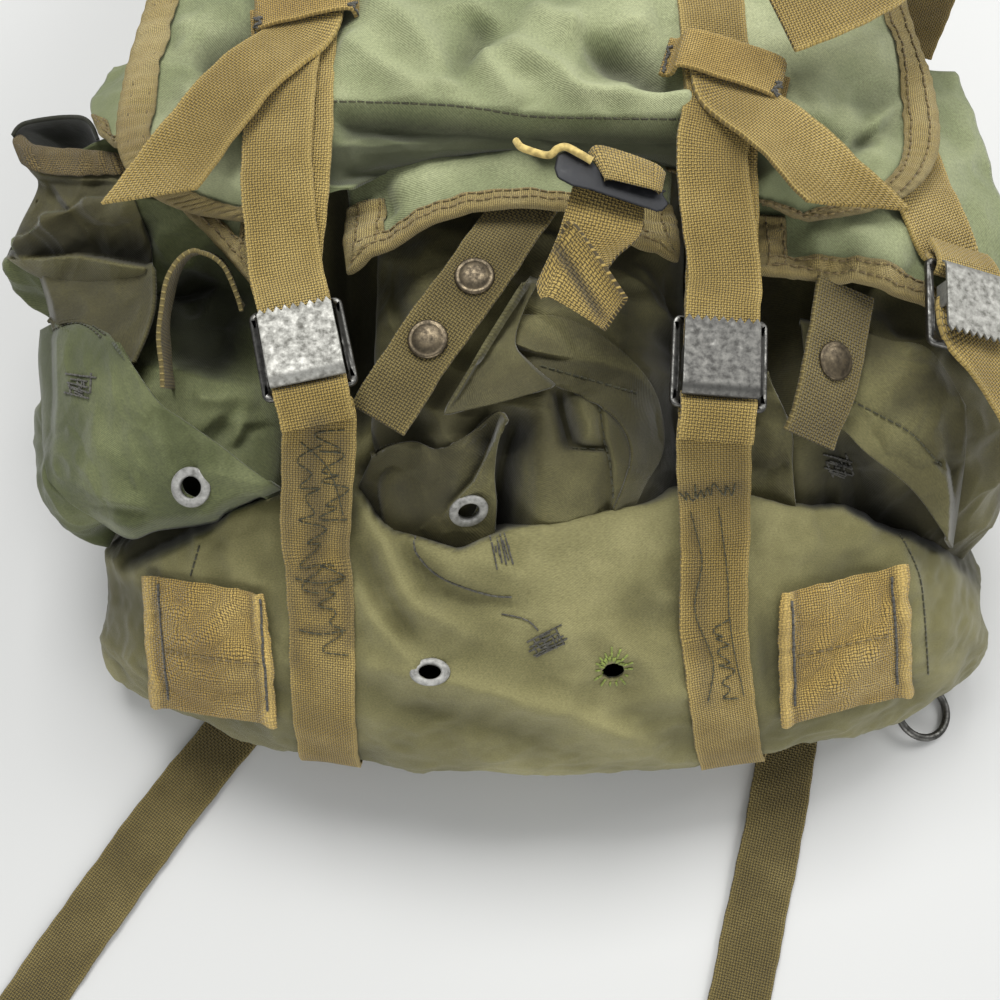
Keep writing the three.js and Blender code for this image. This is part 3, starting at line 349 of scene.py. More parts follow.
def fold_height(folds, points, edge):
    """Height in millimetres that the folds add at points."""
    places = seen_at(points)
    total = np.zeros(len(points))
    for left, left_reach, right, right_reach, line in folds:
        distance, side, inward = line_sides(line, places)
        blend = np.clip(0.5 + side * distance / (2 * edge), 0, 1)
        left_part = left * np.exp(-((distance / left_reach) ** FOLD_FALL))
        right_part = right * np.exp(-((distance / right_reach) ** FOLD_FALL))
        total += (left_part * (1 - blend) + right_part * blend) * inward
    return total


def tone(height, high, low):
    """Paler crests for wear and painted highlight, and painted shade in hollows, from how far the cloth
    stands out.
    """
    return MOST_CREST_WEAR_AND_HIGHLIGHT * np.clip(height / high, 0, 1), MOST_PAINTED_SHADE * np.clip(-height / low, 0, 1)


def pressed(lines, points):
    """How far the cloth is free to stand up, low under the straps."""
    places = seen_at(points)
    free = np.ones(len(points))
    for line in lines:
        distance, _, _ = line_sides(line, places)
        free = np.minimum(free, 1 - PRESS_DEPTH * np.exp(-((distance / PRESS_REACH) ** PRESS_FALL)))
    return free


def toward_eye(points):
    way = EYE - points
    return way / np.linalg.norm(way, axis=1, keepdims=True)


def crumple(points, size, height):
    """Sharp-crested random creases of a given size."""
    values = np.array([noise.noise(Vector(point)) for point in points / size])
    return height * (0.5 - np.abs(values) * 2)


def creased(points, creases):
    return sum(crumple(points, size, height) for size, height in creases)


def smooth_bag(u, v):
    """Sack without folds. u runs round its arch from the left foot to the right one."""
    foot, crown, half, height, squareness, middle = rows_at(BAG_SECTIONS, v).T
    angle = u * math.pi
    power = 2 / squareness
    across = np.sign(np.cos(angle)) * np.abs(np.cos(angle)) ** power
    rise = np.maximum(np.sin(angle), 0) ** power
    return np.stack([middle - half * across, foot + (crown - foot) * rise, height * rise], axis=1)


FOOT_RISE = 4


def bag_relief(u, v):
    """Plain place on the sack, and how far creases and folds move it."""
    place = smooth_bag(u, v)
    held = pressed(PANEL_PRESSED, place)
    arch = np.sin(u * math.pi)
    sides = np.clip(FOOT_RISE * arch, 0, 1) * held
    creases = creased(place, BAG_CREASES) * sides
    return place, creases, fold_height(BAG_FOLDS, place, COARSE_EDGE) * arch * held


def bag(u, v):
    place, creases, folds = bag_relief(u, v)
    return place + normals_of(smooth_bag, u, v) * creases[:, None] + toward_eye(place) * folds[:, None]


SHARES = np.linspace(0, 1, 2001)
CROWN = rows_at(BAG_SECTIONS, SHARES)
FRONT = SHARES >= BOTTOM_TURN
PANEL = SHARES <= CREST_SHARE


def share_at_y(y):
    return np.interp(y, CROWN[FRONT, 1], SHARES[FRONT])


def share_at_height(height):
    return np.interp(height, CROWN[PANEL, 3], SHARES[PANEL])


def turn_at_x(x, v):
    """Share of the arch where the sack has a given x."""
    _, _, half, _, squareness, middle = rows_at(BAG_SECTIONS, v).T
    across = x - middle
    reach = np.minimum(np.abs(across) / half, 1) ** (squareness / 2)
    return np.arccos(-np.sign(across) * reach) / math.pi


def above_bag(x, v, lift):
    u = turn_at_x(x, v)
    return bag(u, v) + normals_of(smooth_bag, u, v) * np.reshape(lift, (-1, 1))


# How far the lower end of each pocket sinks behind the panel's lip
POCKET_TUCK = {"left": (0, 0, 0), "centre": (0, -26, -34), "right": (0, -24, -34)}
TUCK_SHARE = 0.3
TUCK_FALL = 1.4
POCKET_RIM = 9


def plain_pocket(side):
    """Surface of a pocket before its small folds."""
    def place(u, v):
        y, first, last, bulge = rows_at(POCKETS[side], v).T
        turn = (first + (last - first) * u) / 180
        share = share_at_y(y)
        arch = (1 - np.abs(2 * u - 1) ** POCKET_SQUARENESS) ** (1 / POCKET_SQUARENESS)
        way = smooth_bag(turn + STEP, share) - smooth_bag(turn - STEP, share)
        outward = np.stack([-way[:, 2], np.zeros(len(u)), way[:, 0]], axis=1)
        outward /= np.linalg.norm(outward, axis=1, keepdims=True)
        lift = POCKET_LIFT + np.maximum(bulge, 0) * arch
        return smooth_bag(turn, share) + outward * lift[:, None]
    return place


def pocket_relief(side, u, v):
    point = plain_pocket(side)(u, v)
    edge = np.clip(np.minimum(np.minimum(u, 1 - u), v) * POCKET_RIM, 0, 1)
    creases = creased(point, POCKET_CREASES) * edge
    return point, creases, fold_height(POCKET_FOLDS[side], point, FINE_EDGE) * edge


def pocket(side):
    tuck = np.array(POCKET_TUCK[side])

    def place(u, v):
        point, creases, folds = pocket_relief(side, u, v)
        point = point + np.clip(1 - v / TUCK_SHARE, 0, 1)[:, None] ** TUCK_FALL * tuck
        raised = normals_of(plain_pocket(side), u, v) * creases[:, None]
        return point + raised + toward_eye(point) * folds[:, None]
    return place


def plain_storm_flap(u, v):
    y, height, half, droop, pull = rows_at(STORM_FLAP, v).T
    side = 2 * u - 1
    middle = 1 - side * side
    return np.stack([FLAP_MIDDLE + side * half, y + pull * middle, height - droop * side * side], axis=1)


HEM_SHARE = 0.25
HEM_FALL = 1.2
HEM_REACH = 0.64
HEM_CORNER = 6
HEM_TUCK = np.array([0, 20, -22])
QUIET_RIM = 7
QUIET_LEAST = 0.15


def flap_relief(u, v):
    point = plain_storm_flap(u, v)
    height = fold_height(FLAP_FOLDS, point, COARSE_EDGE)
    height += creased(point, FLAP_CREASES)
    quiet = np.clip((1 - np.abs(2 * u - 1)) * QUIET_RIM, QUIET_LEAST, 1)
    return point, height * quiet * pressed(FLAP_PRESSED, point)


def hem_turn(u, v):
    """How far the hem is turned under: most in the middle of the lower edge, not at the bound corners."""
    middle = np.clip(1 - (np.abs(2 * u - 1) / HEM_REACH) ** HEM_CORNER, 0, 1)
    return np.clip(1 - v / HEM_SHARE, 0, 1) ** HEM_FALL * middle


def storm_flap(u, v):
    """Flap whose hem turns down and under between its bound corners."""
    point, height = flap_relief(u, v)
    raised = normals_of(plain_storm_flap, u, v) * height[:, None]
    return point + raised + hem_turn(u, v)[:, None] * HEM_TUCK


def plain_pocket_flap(side):
    def place(u, v):
        row = rows_at(POCKET_FLAPS[side], v)
        left = row[:, 0:3]
        right = row[:, 3:6]
        crown, pull = row[:, 6:8].T
        middle = np.sin(math.pi * u)
        point = left + (right - left) * u[:, None]
        point[:, 1] += pull * middle
        point[:, 2] += crown * middle
        return point
    return place


def small_flap_relief(side, u, v):
    point = plain_pocket_flap(side)(u, v)
    height = fold_height(SMALL_FLAP_FOLDS[side], point, FINE_EDGE)
    return point, height + creased(point, SMALL_FLAP_CREASES)


def pocket_flap(side):
    def place(u, v):
        point, height = small_flap_relief(side, u, v)
        return point + normals_of(plain_pocket_flap(side), u, v) * height[:, None]
    return place


# Materials
def linear(code):
    """Linear colour of an sRGB hex code."""
    parts = [int(code[index:index + 2], 16) / 255 for index in (1, 3, 5)]
    curved = [part / 12.92 if part <= 0.04045 else ((part + 0.055) / 1.055) ** 2.4 for part in parts]
    return (*curved, 1)


def add(tree, kind, inputs=None, **settings):
    """Adds a shader node, sets its properties, and gives each named input a value or a link."""
    node = tree.nodes.new("ShaderNode" + kind)
    for key, value in settings.items():
        setattr(node, key, value)
    for key, value in (inputs or {}).items():
        if isinstance(value, bpy.types.NodeSocket):
            tree.links.new(value, node.inputs[key])
        else:
            node.inputs[key].default_value = value
    return node


def new_material(name):
    material = bpy.data.materials.new(name)
    material.use_nodes = True
    material.node_tree.nodes.clear()
    return material, material.node_tree


def close_material(tree, inputs):
    shader = add(tree, "BsdfPrincipled", inputs)
    add(tree, "OutputMaterial", {"Surface": shader.outputs[0]})


def ramp(tree, factor, stops):
    """Colour ramp with stops of place and hex code."""
    node = add(tree, "ValToRGB", {"Fac": factor})
    elements = node.color_ramp.elements
    while len(elements) < len(stops):
        elements.new(0.5)
    for element, (place, code) in zip(elements, stops):
        element.position = place
        element.color = linear(code)
    return node.outputs["Color"]


def mixed(tree, factor, first, second, blend="MIX"):
    node = add(tree, "Mix", {0: factor, 6: first, 7: second}, data_type="RGBA", blend_type=blend)
    return node.outputs[2]


def noise_of(tree, place, scale, detail, roughness=0.5, distortion=0.0):
    """Cloudy random values."""
    return add(tree, "TexNoise", {
        "Vector": place,
        "Scale": scale,
        "Detail": detail,
        "Roughness": roughness,
        "Distortion": distortion,
    }).outputs["Fac"]


def attribute(tree, name, kind="Fac"):
    return add(tree, "Attribute", attribute_name=name).outputs[kind]


def object_place(tree):
    return add(tree, "TexCoord").outputs["Object"]


def cloth_material(name, light, dark, pale, weave_size):
    """Twill nylon: a fine diagonal rib, faded patches, crests paled by wear and painted highlight, and
    painted shade in hollows.
    """
    material, tree = new_material(name)
    flat = attribute(tree, "flat", "Vector")
    wear_and_highlight = attribute(tree, "wear_and_highlight")
    solid = object_place(tree)
    fade = noise_of(tree, solid, 14, 5, 0.6)
    colour = ramp(tree, fade, [(0.32, dark), (0.5, light), (0.72, pale)])
    speck = noise_of(tree, flat, 1.1, 3, 0.7)
    threads = ramp(tree, speck, [(0.3, "#909090"), (0.7, "#ffffff")])
    colour = mixed(tree, 0.6, colour, threads, "MULTIPLY")
    # Crests paled: partly wear, partly painted highlight
    crest = add(tree, "Math", {0: wear_and_highlight, 1: speck}, operation="MULTIPLY", use_clamp=True).outputs[0]
    colour = mixed(tree, crest, colour, linear(pale))
    # Near-black mix: painted shade in hollows, under the turned hem and inside the pocket mouth
    painted_shade_and_stain = attribute(tree, "painted_shade_and_stain")
    colour = mixed(tree, painted_shade_and_stain, colour, linear("#16150d"))
    wave = {"Vector": flat, "Scale": 0.63 / weave_size, "Distortion": 0.6, "Detail": 1}
    rib = add(tree, "TexWave", wave, bands_direction="DIAGONAL").outputs["Fac"]
    ribs = ramp(tree, rib, [(0.0, "#c8c8c8"), (1.0, "#ffffff")])
    colour = mixed(tree, 0.6, colour, ribs, "MULTIPLY")
    dents = noise_of(tree, solid, 60, 4, 0.55)
    soft = add(tree, "Bump", {"Height": dents, "Strength": 0.35, "Distance": 0.0025}).outputs["Normal"]
    bump = add(tree, "Bump", {"Height": rib, "Normal": soft, "Strength": 0.35, "Distance": 0.0003})
    close_material(tree, {
        "Base Color": colour,
        "Roughness": 0.72,
        "Sheen Weight": 0.18,
        "Sheen Roughness": 0.45,
        "Specular IOR Level": 0.3,
        "Normal": bump.outputs["Normal"],
    })
    return material


def webbing_material(name, light, dark, pale, thread):
    """Basket-woven webbing: raised threads in two directions, darker between, faded in places."""
    material, tree = new_material(name)
    flat = attribute(tree, "flat", "Vector")
    wear_and_highlight = attribute(tree, "wear_and_highlight")
    solid = object_place(tree)
    wave = 2 * math.pi / 20 / thread
    warp = add(tree, "TexWave", {"Vector": flat, "Scale": wave}, bands_direction="X").outputs["Fac"]
    weft = add(tree, "TexWave", {"Vector": flat, "Scale": wave}, bands_direction="Y").outputs["Fac"]
    over = add(tree, "TexChecker", {"Vector": flat, "Scale": 1 / thread}).outputs["Fac"]
    weave = add(tree, "Mix", {0: over, 2: warp, 3: weft}).outputs[0]
    fade = noise_of(tree, solid, 22, 5, 0.65)
    colour = ramp(tree, fade, [(0.3, dark), (0.5, light), (0.75, pale)])
    shade = ramp(tree, weave, [(0.05, "#4a4a4a"), (0.6, "#ffffff")])
    colour = mixed(tree, 0.95, colour, shade, "MULTIPLY")
    speck = noise_of(tree, flat, 0.9, 3, 0.7)
    threads = ramp(tree, speck, [(0.3, "#b0b0b0"), (0.7, "#ffffff")])
    colour = mixed(tree, 0.5, colour, threads, "MULTIPLY")
    # Paler at worn edges; on the slide buckle's webbing also a painted highlight on crests
    colour = mixed(tree, wear_and_highlight, colour, linear(pale))
    # Darker where stained; on the slide buckle's webbing also painted shade in hollows and along its fold
    painted_shade_and_stain = attribute(tree, "painted_shade_and_stain")
    colour = mixed(tree, painted_shade_and_stain, colour, linear("#2a2823"))
    bump = add(tree, "Bump", {"Height": weave, "Strength": 0.8, "Distance": 0.0006})
    close_material(tree, {
        "Base Color": colour,
        "Roughness": 0.78,
        "Sheen Weight": 0.12,
        "Specular IOR Level": 0.25,
        "Normal": bump.outputs["Normal"],
    })
    return material


def metal_material(name, light, dark, stain, rough, metallic):
    """Worn plated metal: bright with cloudy dull patches and fine scratches."""
    material, tree = new_material(name)
    solid = object_place(tree)
    cloud = noise_of(tree, solid, 420, 6, 0.62)
    colour = ramp(tree, cloud, [(0.28, stain), (0.45, dark), (0.66, light)])
    scratch = noise_of(tree, solid, 900, 3, distortion=1.5)
    dull = add(tree, "MapRange", {0: cloud, 1: 0.35, 2: 0.65, 3: rough + 0.25, 4: rough}).outputs[0]
    bump = add(tree, "Bump", {"Height": scratch, "Strength": 0.15, "Distance": 0.0002})
    close_material(tree, {
        "Base Color": colour,
        "Metallic": metallic,
        "Roughness": dull,
        "Normal": bump.outputs["Normal"],
    })
    return material


def thread_material(name, light, dark):
    """Sewing thread: two close tints along each stitch."""
    material, tree = new_material(name)
    solid = object_place(tree)
    twist = noise_of(tree, solid, 500, 2)
    colour = ramp(tree, twist, [(0.35, dark), (0.65, light)])
    close_material(tree, {"Base Color": colour, "Roughness": 0.8, "Sheen Weight": 0.1})
    return material


def plastic_material(name):
    """Charcoal moulded plastic, slightly scuffed on its faces."""
    material, tree = new_material(name)
    solid = object_place(tree)
    scuff = noise_of(tree, solid, 300, 5, 0.7)
    colour = ramp(tree, scuff, [(0.4, "#17181a"), (0.62, "#202124"), (0.78, "#3a3a3a")])
    rough = add(tree, "MapRange", {0: scuff, 1: 0.3, 2: 0.7, 3: 0.4, 4: 0.6}).outputs[0]
    bump = add(tree, "Bump", {"Height": scuff, "Strength": 0.1, "Distance": 0.0003})
    close_material(tree, {
        "Base Color": colour,
        "Roughness": rough,
        "Specular IOR Level": 0.22,
        "Normal": bump.outputs["Normal"],
    })
    return material


# Twill of the sack, its pockets in painted shade, the faded flap and its lining: light, dark and pale tints,
# the pale for wear and painted highlight on crests, rib size
OLIVE = cloth_material("olive nylon twill", "#726d43", "#625e39", "#9c9667", 0.9)
# The pockets' cloth: the sack's olive twill in darker tints, as painted shade
SHADED = cloth_material("olive nylon twill with painted shade", "#504b2b", "#423e23", "#7e794e", 0.9)
SAGE = cloth_material("sage nylon twill", "#868d64", "#757d56", "#b3b78e", 0.9)
LINING = cloth_material("dark sage nylon twill", "#565c36", "#474d2d", "#7e835a", 0.9)
# Binding tape and webbing straps: light, dark and pale tints, the pale for wear and painted highlight, thread
# size
TAPE = webbing_material("tan binding tape", "#bda766", "#a89155", "#d4c187", 0.5)
BROWN_TAPE = webbing_material("brown binding tape", "#7c6a3e", "#6a5a33", "#93814f", 0.8)
KHAKI = webbing_material("khaki webbing", "#a08847", "#8c763a", "#bda563", 1.0)
TAN = webbing_material("tan webbing", "#b0934c", "#9c8041", "#c6ab67", 0.85)
DARK = webbing_material("dark olive webbing", "#716336", "#63562e", "#887948", 1.15)
# Buckle steel, snap bronze, eyelet zinc and ring wire: light, dark and stained tints, roughness, metal share
STEEL = metal_material("worn plated steel", "#94938d", "#807f79", "#5e5c56", 0.5, 0.75)
BRUSHED = metal_material("dull plated steel", "#595854", "#4d4c49", "#3c3b38", 0.42, 0.85)
BRONZE = metal_material("dark bronze", "#6a5f4c", "#4c4437", "#2e2a22", 0.38, 0.9)
ZINC = metal_material("zinc", "#9d9c97", "#878682", "#66655f", 0.6, 0.45)
RING_STEEL = metal_material("dark steel wire", "#6b6a66", "#4d4c49", "#2f2e2b", 0.32, 1.0)
# Slide buckle, sewing threads and tie cord: light and dark tints
PLASTIC = plastic_material("charcoal plastic")
OLIVE_THREAD = thread_material("dark olive thread", "#3f3e24", "#2e2d1a")
GREY_THREAD = thread_material("dark grey thread", "#4a4840", "#33312b")
BROWN_THREAD = thread_material("brown thread", "#75643a", "#594b2a")
CORD_YARN = thread_material("tan cord", "#c4ad68", "#97834a")
GREEN_THREAD = thread_material("frayed green thread", "#7d8a3c", "#66702f")


# Building pieces
def even_tone(u, v):
    return np.zeros(len(u)), np.zeros(len(u))


def sheet_mesh(columns, rows, place, flat, tones=even_tone, spread=None):
    """Fine grid whose points a surface puts in place. Keeps each point's place on the flat cloth."""
    mesh = bmesh.new()
    bmesh.ops.create_grid(mesh, x_segments=columns, y_segments=rows, size=0.5)
    shares = np.array([vert.co.xy for vert in mesh.verts]) + 0.5
    u = shares[:, 0]
    v = shares[:, 1] if spread is None else spread(shares[:, 1])
    flat_layer = mesh.verts.layers.float_vector.new("flat")
    # Each point keeps its wear with painted highlight, and its stains with painted shade, for the materials
    wear_and_highlight_layer = mesh.verts.layers.float.new("wear_and_highlight")
    painted_shade_and_stain_layer = mesh.verts.layers.float.new("painted_shade_and_stain")
    values = zip(mesh.verts, place(u, v) * MM, u * flat[0], v * flat[1], *tones(u, v))
    for vert, point, across, along, wear_and_highlight_amount, shade_and_stain_amount in values:
        vert.co = point
        vert[flat_layer] = (across, along, 0)
        vert[wear_and_highlight_layer] = wear_and_highlight_amount
        vert[painted_shade_and_stain_layer] = shade_and_stain_amount
    return mesh


trees = {}


def add_piece(name, mesh, material, nodes=(), thickness=0, offset=-1, bevel=0):
    """Makes the finished object, shows it smooth and ties it to the frame."""
    mesh.normal_update()
    trees[name] = BVHTree.FromBMesh(mesh)
    data = bpy.data.meshes.new(name)
    mesh.to_mesh(data)
    mesh.free()
    data.materials.append(material)
    data.shade_smooth()
    piece = bpy.data.objects.new(name, data)
    bpy.context.scene.collection.objects.link(piece)
    if thickness:
        shell = piece.modifiers.new("thickness", "SOLIDIFY")
        shell.thickness = thickness * MM
        shell.offset = offset
    if bevel:
        edge = piece.modifiers.new("rounded edge", "BEVEL")
        edge.width = bevel * MM
        edge.segments = 2
        edge.limit_method = "ANGLE"
    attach(piece, "root")
    if nodes:
        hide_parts(*nodes)


# Main sack: arch and floor in one closed tube
ARCH_COLUMNS = 240
FLOOR_COLUMNS = 24
SACK_ROWS = 170
ARCH_SHARE = ARCH_COLUMNS / (ARCH_COLUMNS + FLOOR_COLUMNS)
SACK_FLAT = (640, 720)
SACK_TONE = (6, 9)
ROW_SHARES = [0, 0.08, 0.74, 1]
ROW_PLACES = [0, 0.12, 0.53, 1]
WELD = 0.02


def sack_rows(v):
    """Closer rows over the bottom panel than under the flap."""
    return np.interp(v, ROW_SHARES, ROW_PLACES)


def sack_surface(u, v):
    arch = bag(np.minimum(u / ARCH_SHARE, 1), v)
    back = np.clip((u - ARCH_SHARE) / (1 - ARCH_SHARE), 0, 1)
    foot, _, half, _, _, middle = rows_at(BAG_SECTIONS, v).T
    arch[:, 2] = np.maximum(arch[:, 2], 0)
    floor = np.stack([middle + half * (1 - 2 * back), foot, np.zeros(len(u))], axis=1)
    return np.where((u > ARCH_SHARE)[:, None], floor, arch)


def sack_tone(u, v):
    # Wear and painted highlight on crests, painted shade in hollows of the sack's folds; none on its floor
    _, creases, folds = bag_relief(np.minimum(u / ARCH_SHARE, 1), v)
    return tone(np.where(u > ARCH_SHARE, 0, creases + folds), *SACK_TONE)


def pierce(mesh, centre, radius):
    """Opens a round hole in the cloth and draws its rim to a circle."""
    centre = Vector(centre * MM)
    inside = [face for face in mesh.faces if (face.calc_center_median() - centre).length < radius * MM]
    bmesh.ops.delete(mesh, geom=inside, context="FACES")
    for vert in mesh.verts:
        gap = vert.co - centre
        if vert.is_boundary and gap.length < 2 * radius * MM:
            vert.co = centre + gap.normalized() * radius * MM


HOLE = 4.4
PANEL_HOLES = {"eyelet": (-34.0, 101.0), "frayed": (34.0, 101.0)}


def panel_place(x, height, lift=0.0):
    v = np.array([share_at_height(height)])
    u = turn_at_x(np.array([x]), v)
    normal = normals_of(bag, u, v)[0]
    return bag(u, v)[0] + normal * lift, normal


sack = sheet_mesh(ARCH_COLUMNS + FLOOR_COLUMNS, SACK_ROWS, sack_surface, SACK_FLAT, sack_tone, sack_rows)
bmesh.ops.remove_doubles(sack, verts=sack.verts, dist=WELD * MM)
for spot in PANEL_HOLES.values():
    pierce(sack, panel_place(*spot)[0], HOLE)
add_piece("main_sack", sack, OLIVE, ["bag_body"], thickness=CLOTH)

# Pockets
POCKET_COLUMNS = 150
POCKET_ROWS = 160
POCKET_FLAT = (170, 190)
POCKET_TONE = (7, 16)
# Centre and right pockets take the olive twill darkened as painted shade
POCKET_CLOTH = {"left": LINING, "centre": SHADED, "right": SHADED}


def one(value):
    return np.array([float(value)])


# Wear and painted highlight on crests, painted shade in hollows of each pocket's folds
def pocket_tone(side):
    def tones(u, v):
        _, creases, folds = pocket_relief(side, u, v)
        return tone(creases + folds, *POCKET_TONE)
    return tones


for side in POCKETS:
    body = sheet_mesh(POCKET_COLUMNS, POCKET_ROWS, pocket(side), POCKET_FLAT, pocket_tone(side))
    add_piece(f"{side}_pocket", body, POCKET_CLOTH[side], [f"pocket_{side}"], thickness=CLOTH)


# Layers of loose cloth, laid where the camera sees their borders
def cast(names, x, y):
    """Nearest place and normal that the camera sees on some pieces, in millimetres."""
    way = Vector(sight_lines(np.array([[x, y]], dtype=float))[0])
    hits = [trees[name].ray_cast(Vector(EYE * MM), way) for name in names]
    hits = [hit for hit in hits if hit[0] is not None]
    if not hits:
        return None
    place, normal, _, _ = min(hits, key=lambda hit: hit[3])
    normal = np.array(normal)
    if normal @ np.array(way) > 0:
        normal = -normal
    return np.array(place) / MM, normal


def cast_near(names, spot, middle):
    """Like cast, but drawn toward a middle where the line of sight passes the cloth's edge."""
    for pull in np.linspace(0, 0.5, 26):
        hit = cast(names, *(spot + (middle - spot) * pull))
        if hit is not None:
            return hit
    return None


def border_at(line, shares):
    """Places on a smooth curve through points in the picture, at shares of its length."""
    line = np.array(line, dtype=float)
    runs = np.concatenate([[0], np.cumsum(np.hypot(*np.diff(line, axis=0).T))])
    return rows_at(line, np.interp(shares * runs[-1], runs, np.linspace(0, 1, len(line))))


SEWN_SHARE = 0.08
SEWN_DROP = 34
LAYER_TONE = (6, 12)
LAYER_CREASE = 22
FINE_CREASE = 9
FINE_CREASE_SHARE = 0.3
SWELL_FALL = 0.6
CURL_FALL = 5


def layer_surface(layer):
    """Sheet between four borders in the picture, with a height at each corner and raised edges."""
    top_left, top_right, low_right, low_left = layer["heights"]
    curl_top, curl_right, curl_low, curl_left = layer.get("curl", (0, 0, 0, 0))

    def seen(u, v):
        top = border_at(layer["top"], u)
        low = border_at(layer["low"], u)
        left = border_at(layer["left"], 1 - v)
        right = border_at(layer["right"], 1 - v)
        u = u[:, None]
        v = v[:, None]
        corners = v * ((1 - u) * np.array(layer["top"][0]) + u * np.array(layer["top"][-1]))
        corners = corners + (1 - v) * ((1 - u) * np.array(layer["low"][0]) + u * np.array(layer["low"][-1]))
        return v * top + (1 - v) * low + (1 - u) * left + u * right - corners

    def sewn_down(u, v):
        """How far each point belongs to a border that is sewn to the cloth under it."""
        gaps = [1 - v, 1 - u, v, u]
        curls = (curl_top, curl_right, curl_low, curl_left)
        held = [np.clip(1 - gap / SEWN_SHARE, 0, 1) ** 2 for gap, curl in zip(gaps, curls) if curl == 0]
        return np.max([np.zeros(len(u)), *held], axis=0)

    def relief(u, v):
        places = seen(u, v)
        ways = sight_lines(places)
        top_height = (1 - u) * top_left + u * top_right
        low_height = (1 - u) * low_left + u * low_right
        height = v * top_height + (1 - v) * low_height
        points = EYE + ways * ((height - EYE[2]) / ways[:, 2])[:, None]
        creases = layer.get("creases", 2.0)
        rough = creased(points, [(LAYER_CREASE, creases), (FINE_CREASE, FINE_CREASE_SHARE * creases)])
        return places, points, rough + fold_height(layer.get("folds", []), points, FINE_EDGE)

    def place(u, v):
        places, points, relieved = relief(u, v)
        ways = points - EYE
        reach = np.linalg.norm(ways, axis=1)
        ways /= reach[:, None]
        swell = layer.get("swell", 0) * np.clip(16 * u * (1 - u) * v * (1 - v), 0, 1) ** SWELL_FALL
        curl = curl_top * v ** CURL_FALL + curl_low * (1 - v) ** CURL_FALL
        curl += curl_right * u ** CURL_FALL + curl_left * (1 - u) ** CURL_FALL
        reach -= swell + curl + relieved
        sewn = sewn_down(u, v)
        for index, (x, y) in enumerate(places):
            under = cast(layer.get("over", []), x, y)
            if under is not None:
                base = np.linalg.norm(under[0] - EYE) - CLOTH - 1
                reach[index] = min(reach[index], base)
                reach[index] += sewn[index] * min(base - reach[index], SEWN_DROP)
        return EYE + ways * reach[:, None]

    def tones(u, v):
        places, _, relieved = relief(u, v)
        # Wear and painted highlight on crests, painted shade in hollows
        wear_and_highlight_amount, shade_and_stain_amount = tone(relieved, *LAYER_TONE)
        # Painted shade over a whole layer, and along the layer's listed crease lines
        shade_and_stain_amount = np.maximum(shade_and_stain_amount, layer.get("painted_shade_and_stain", 0))
        for line, reach in layer.get("stains_and_crease_shade", []):
            distance, _, inward = line_sides(line, places)
            shade_and_stain_amount = np.maximum(shade_and_stain_amount, MOST_PAINTED_SHADE * inward * np.exp(-((distance / reach) ** 2)))
        return wear_and_highlight_amount, shade_and_stain_amount
    return place, tones


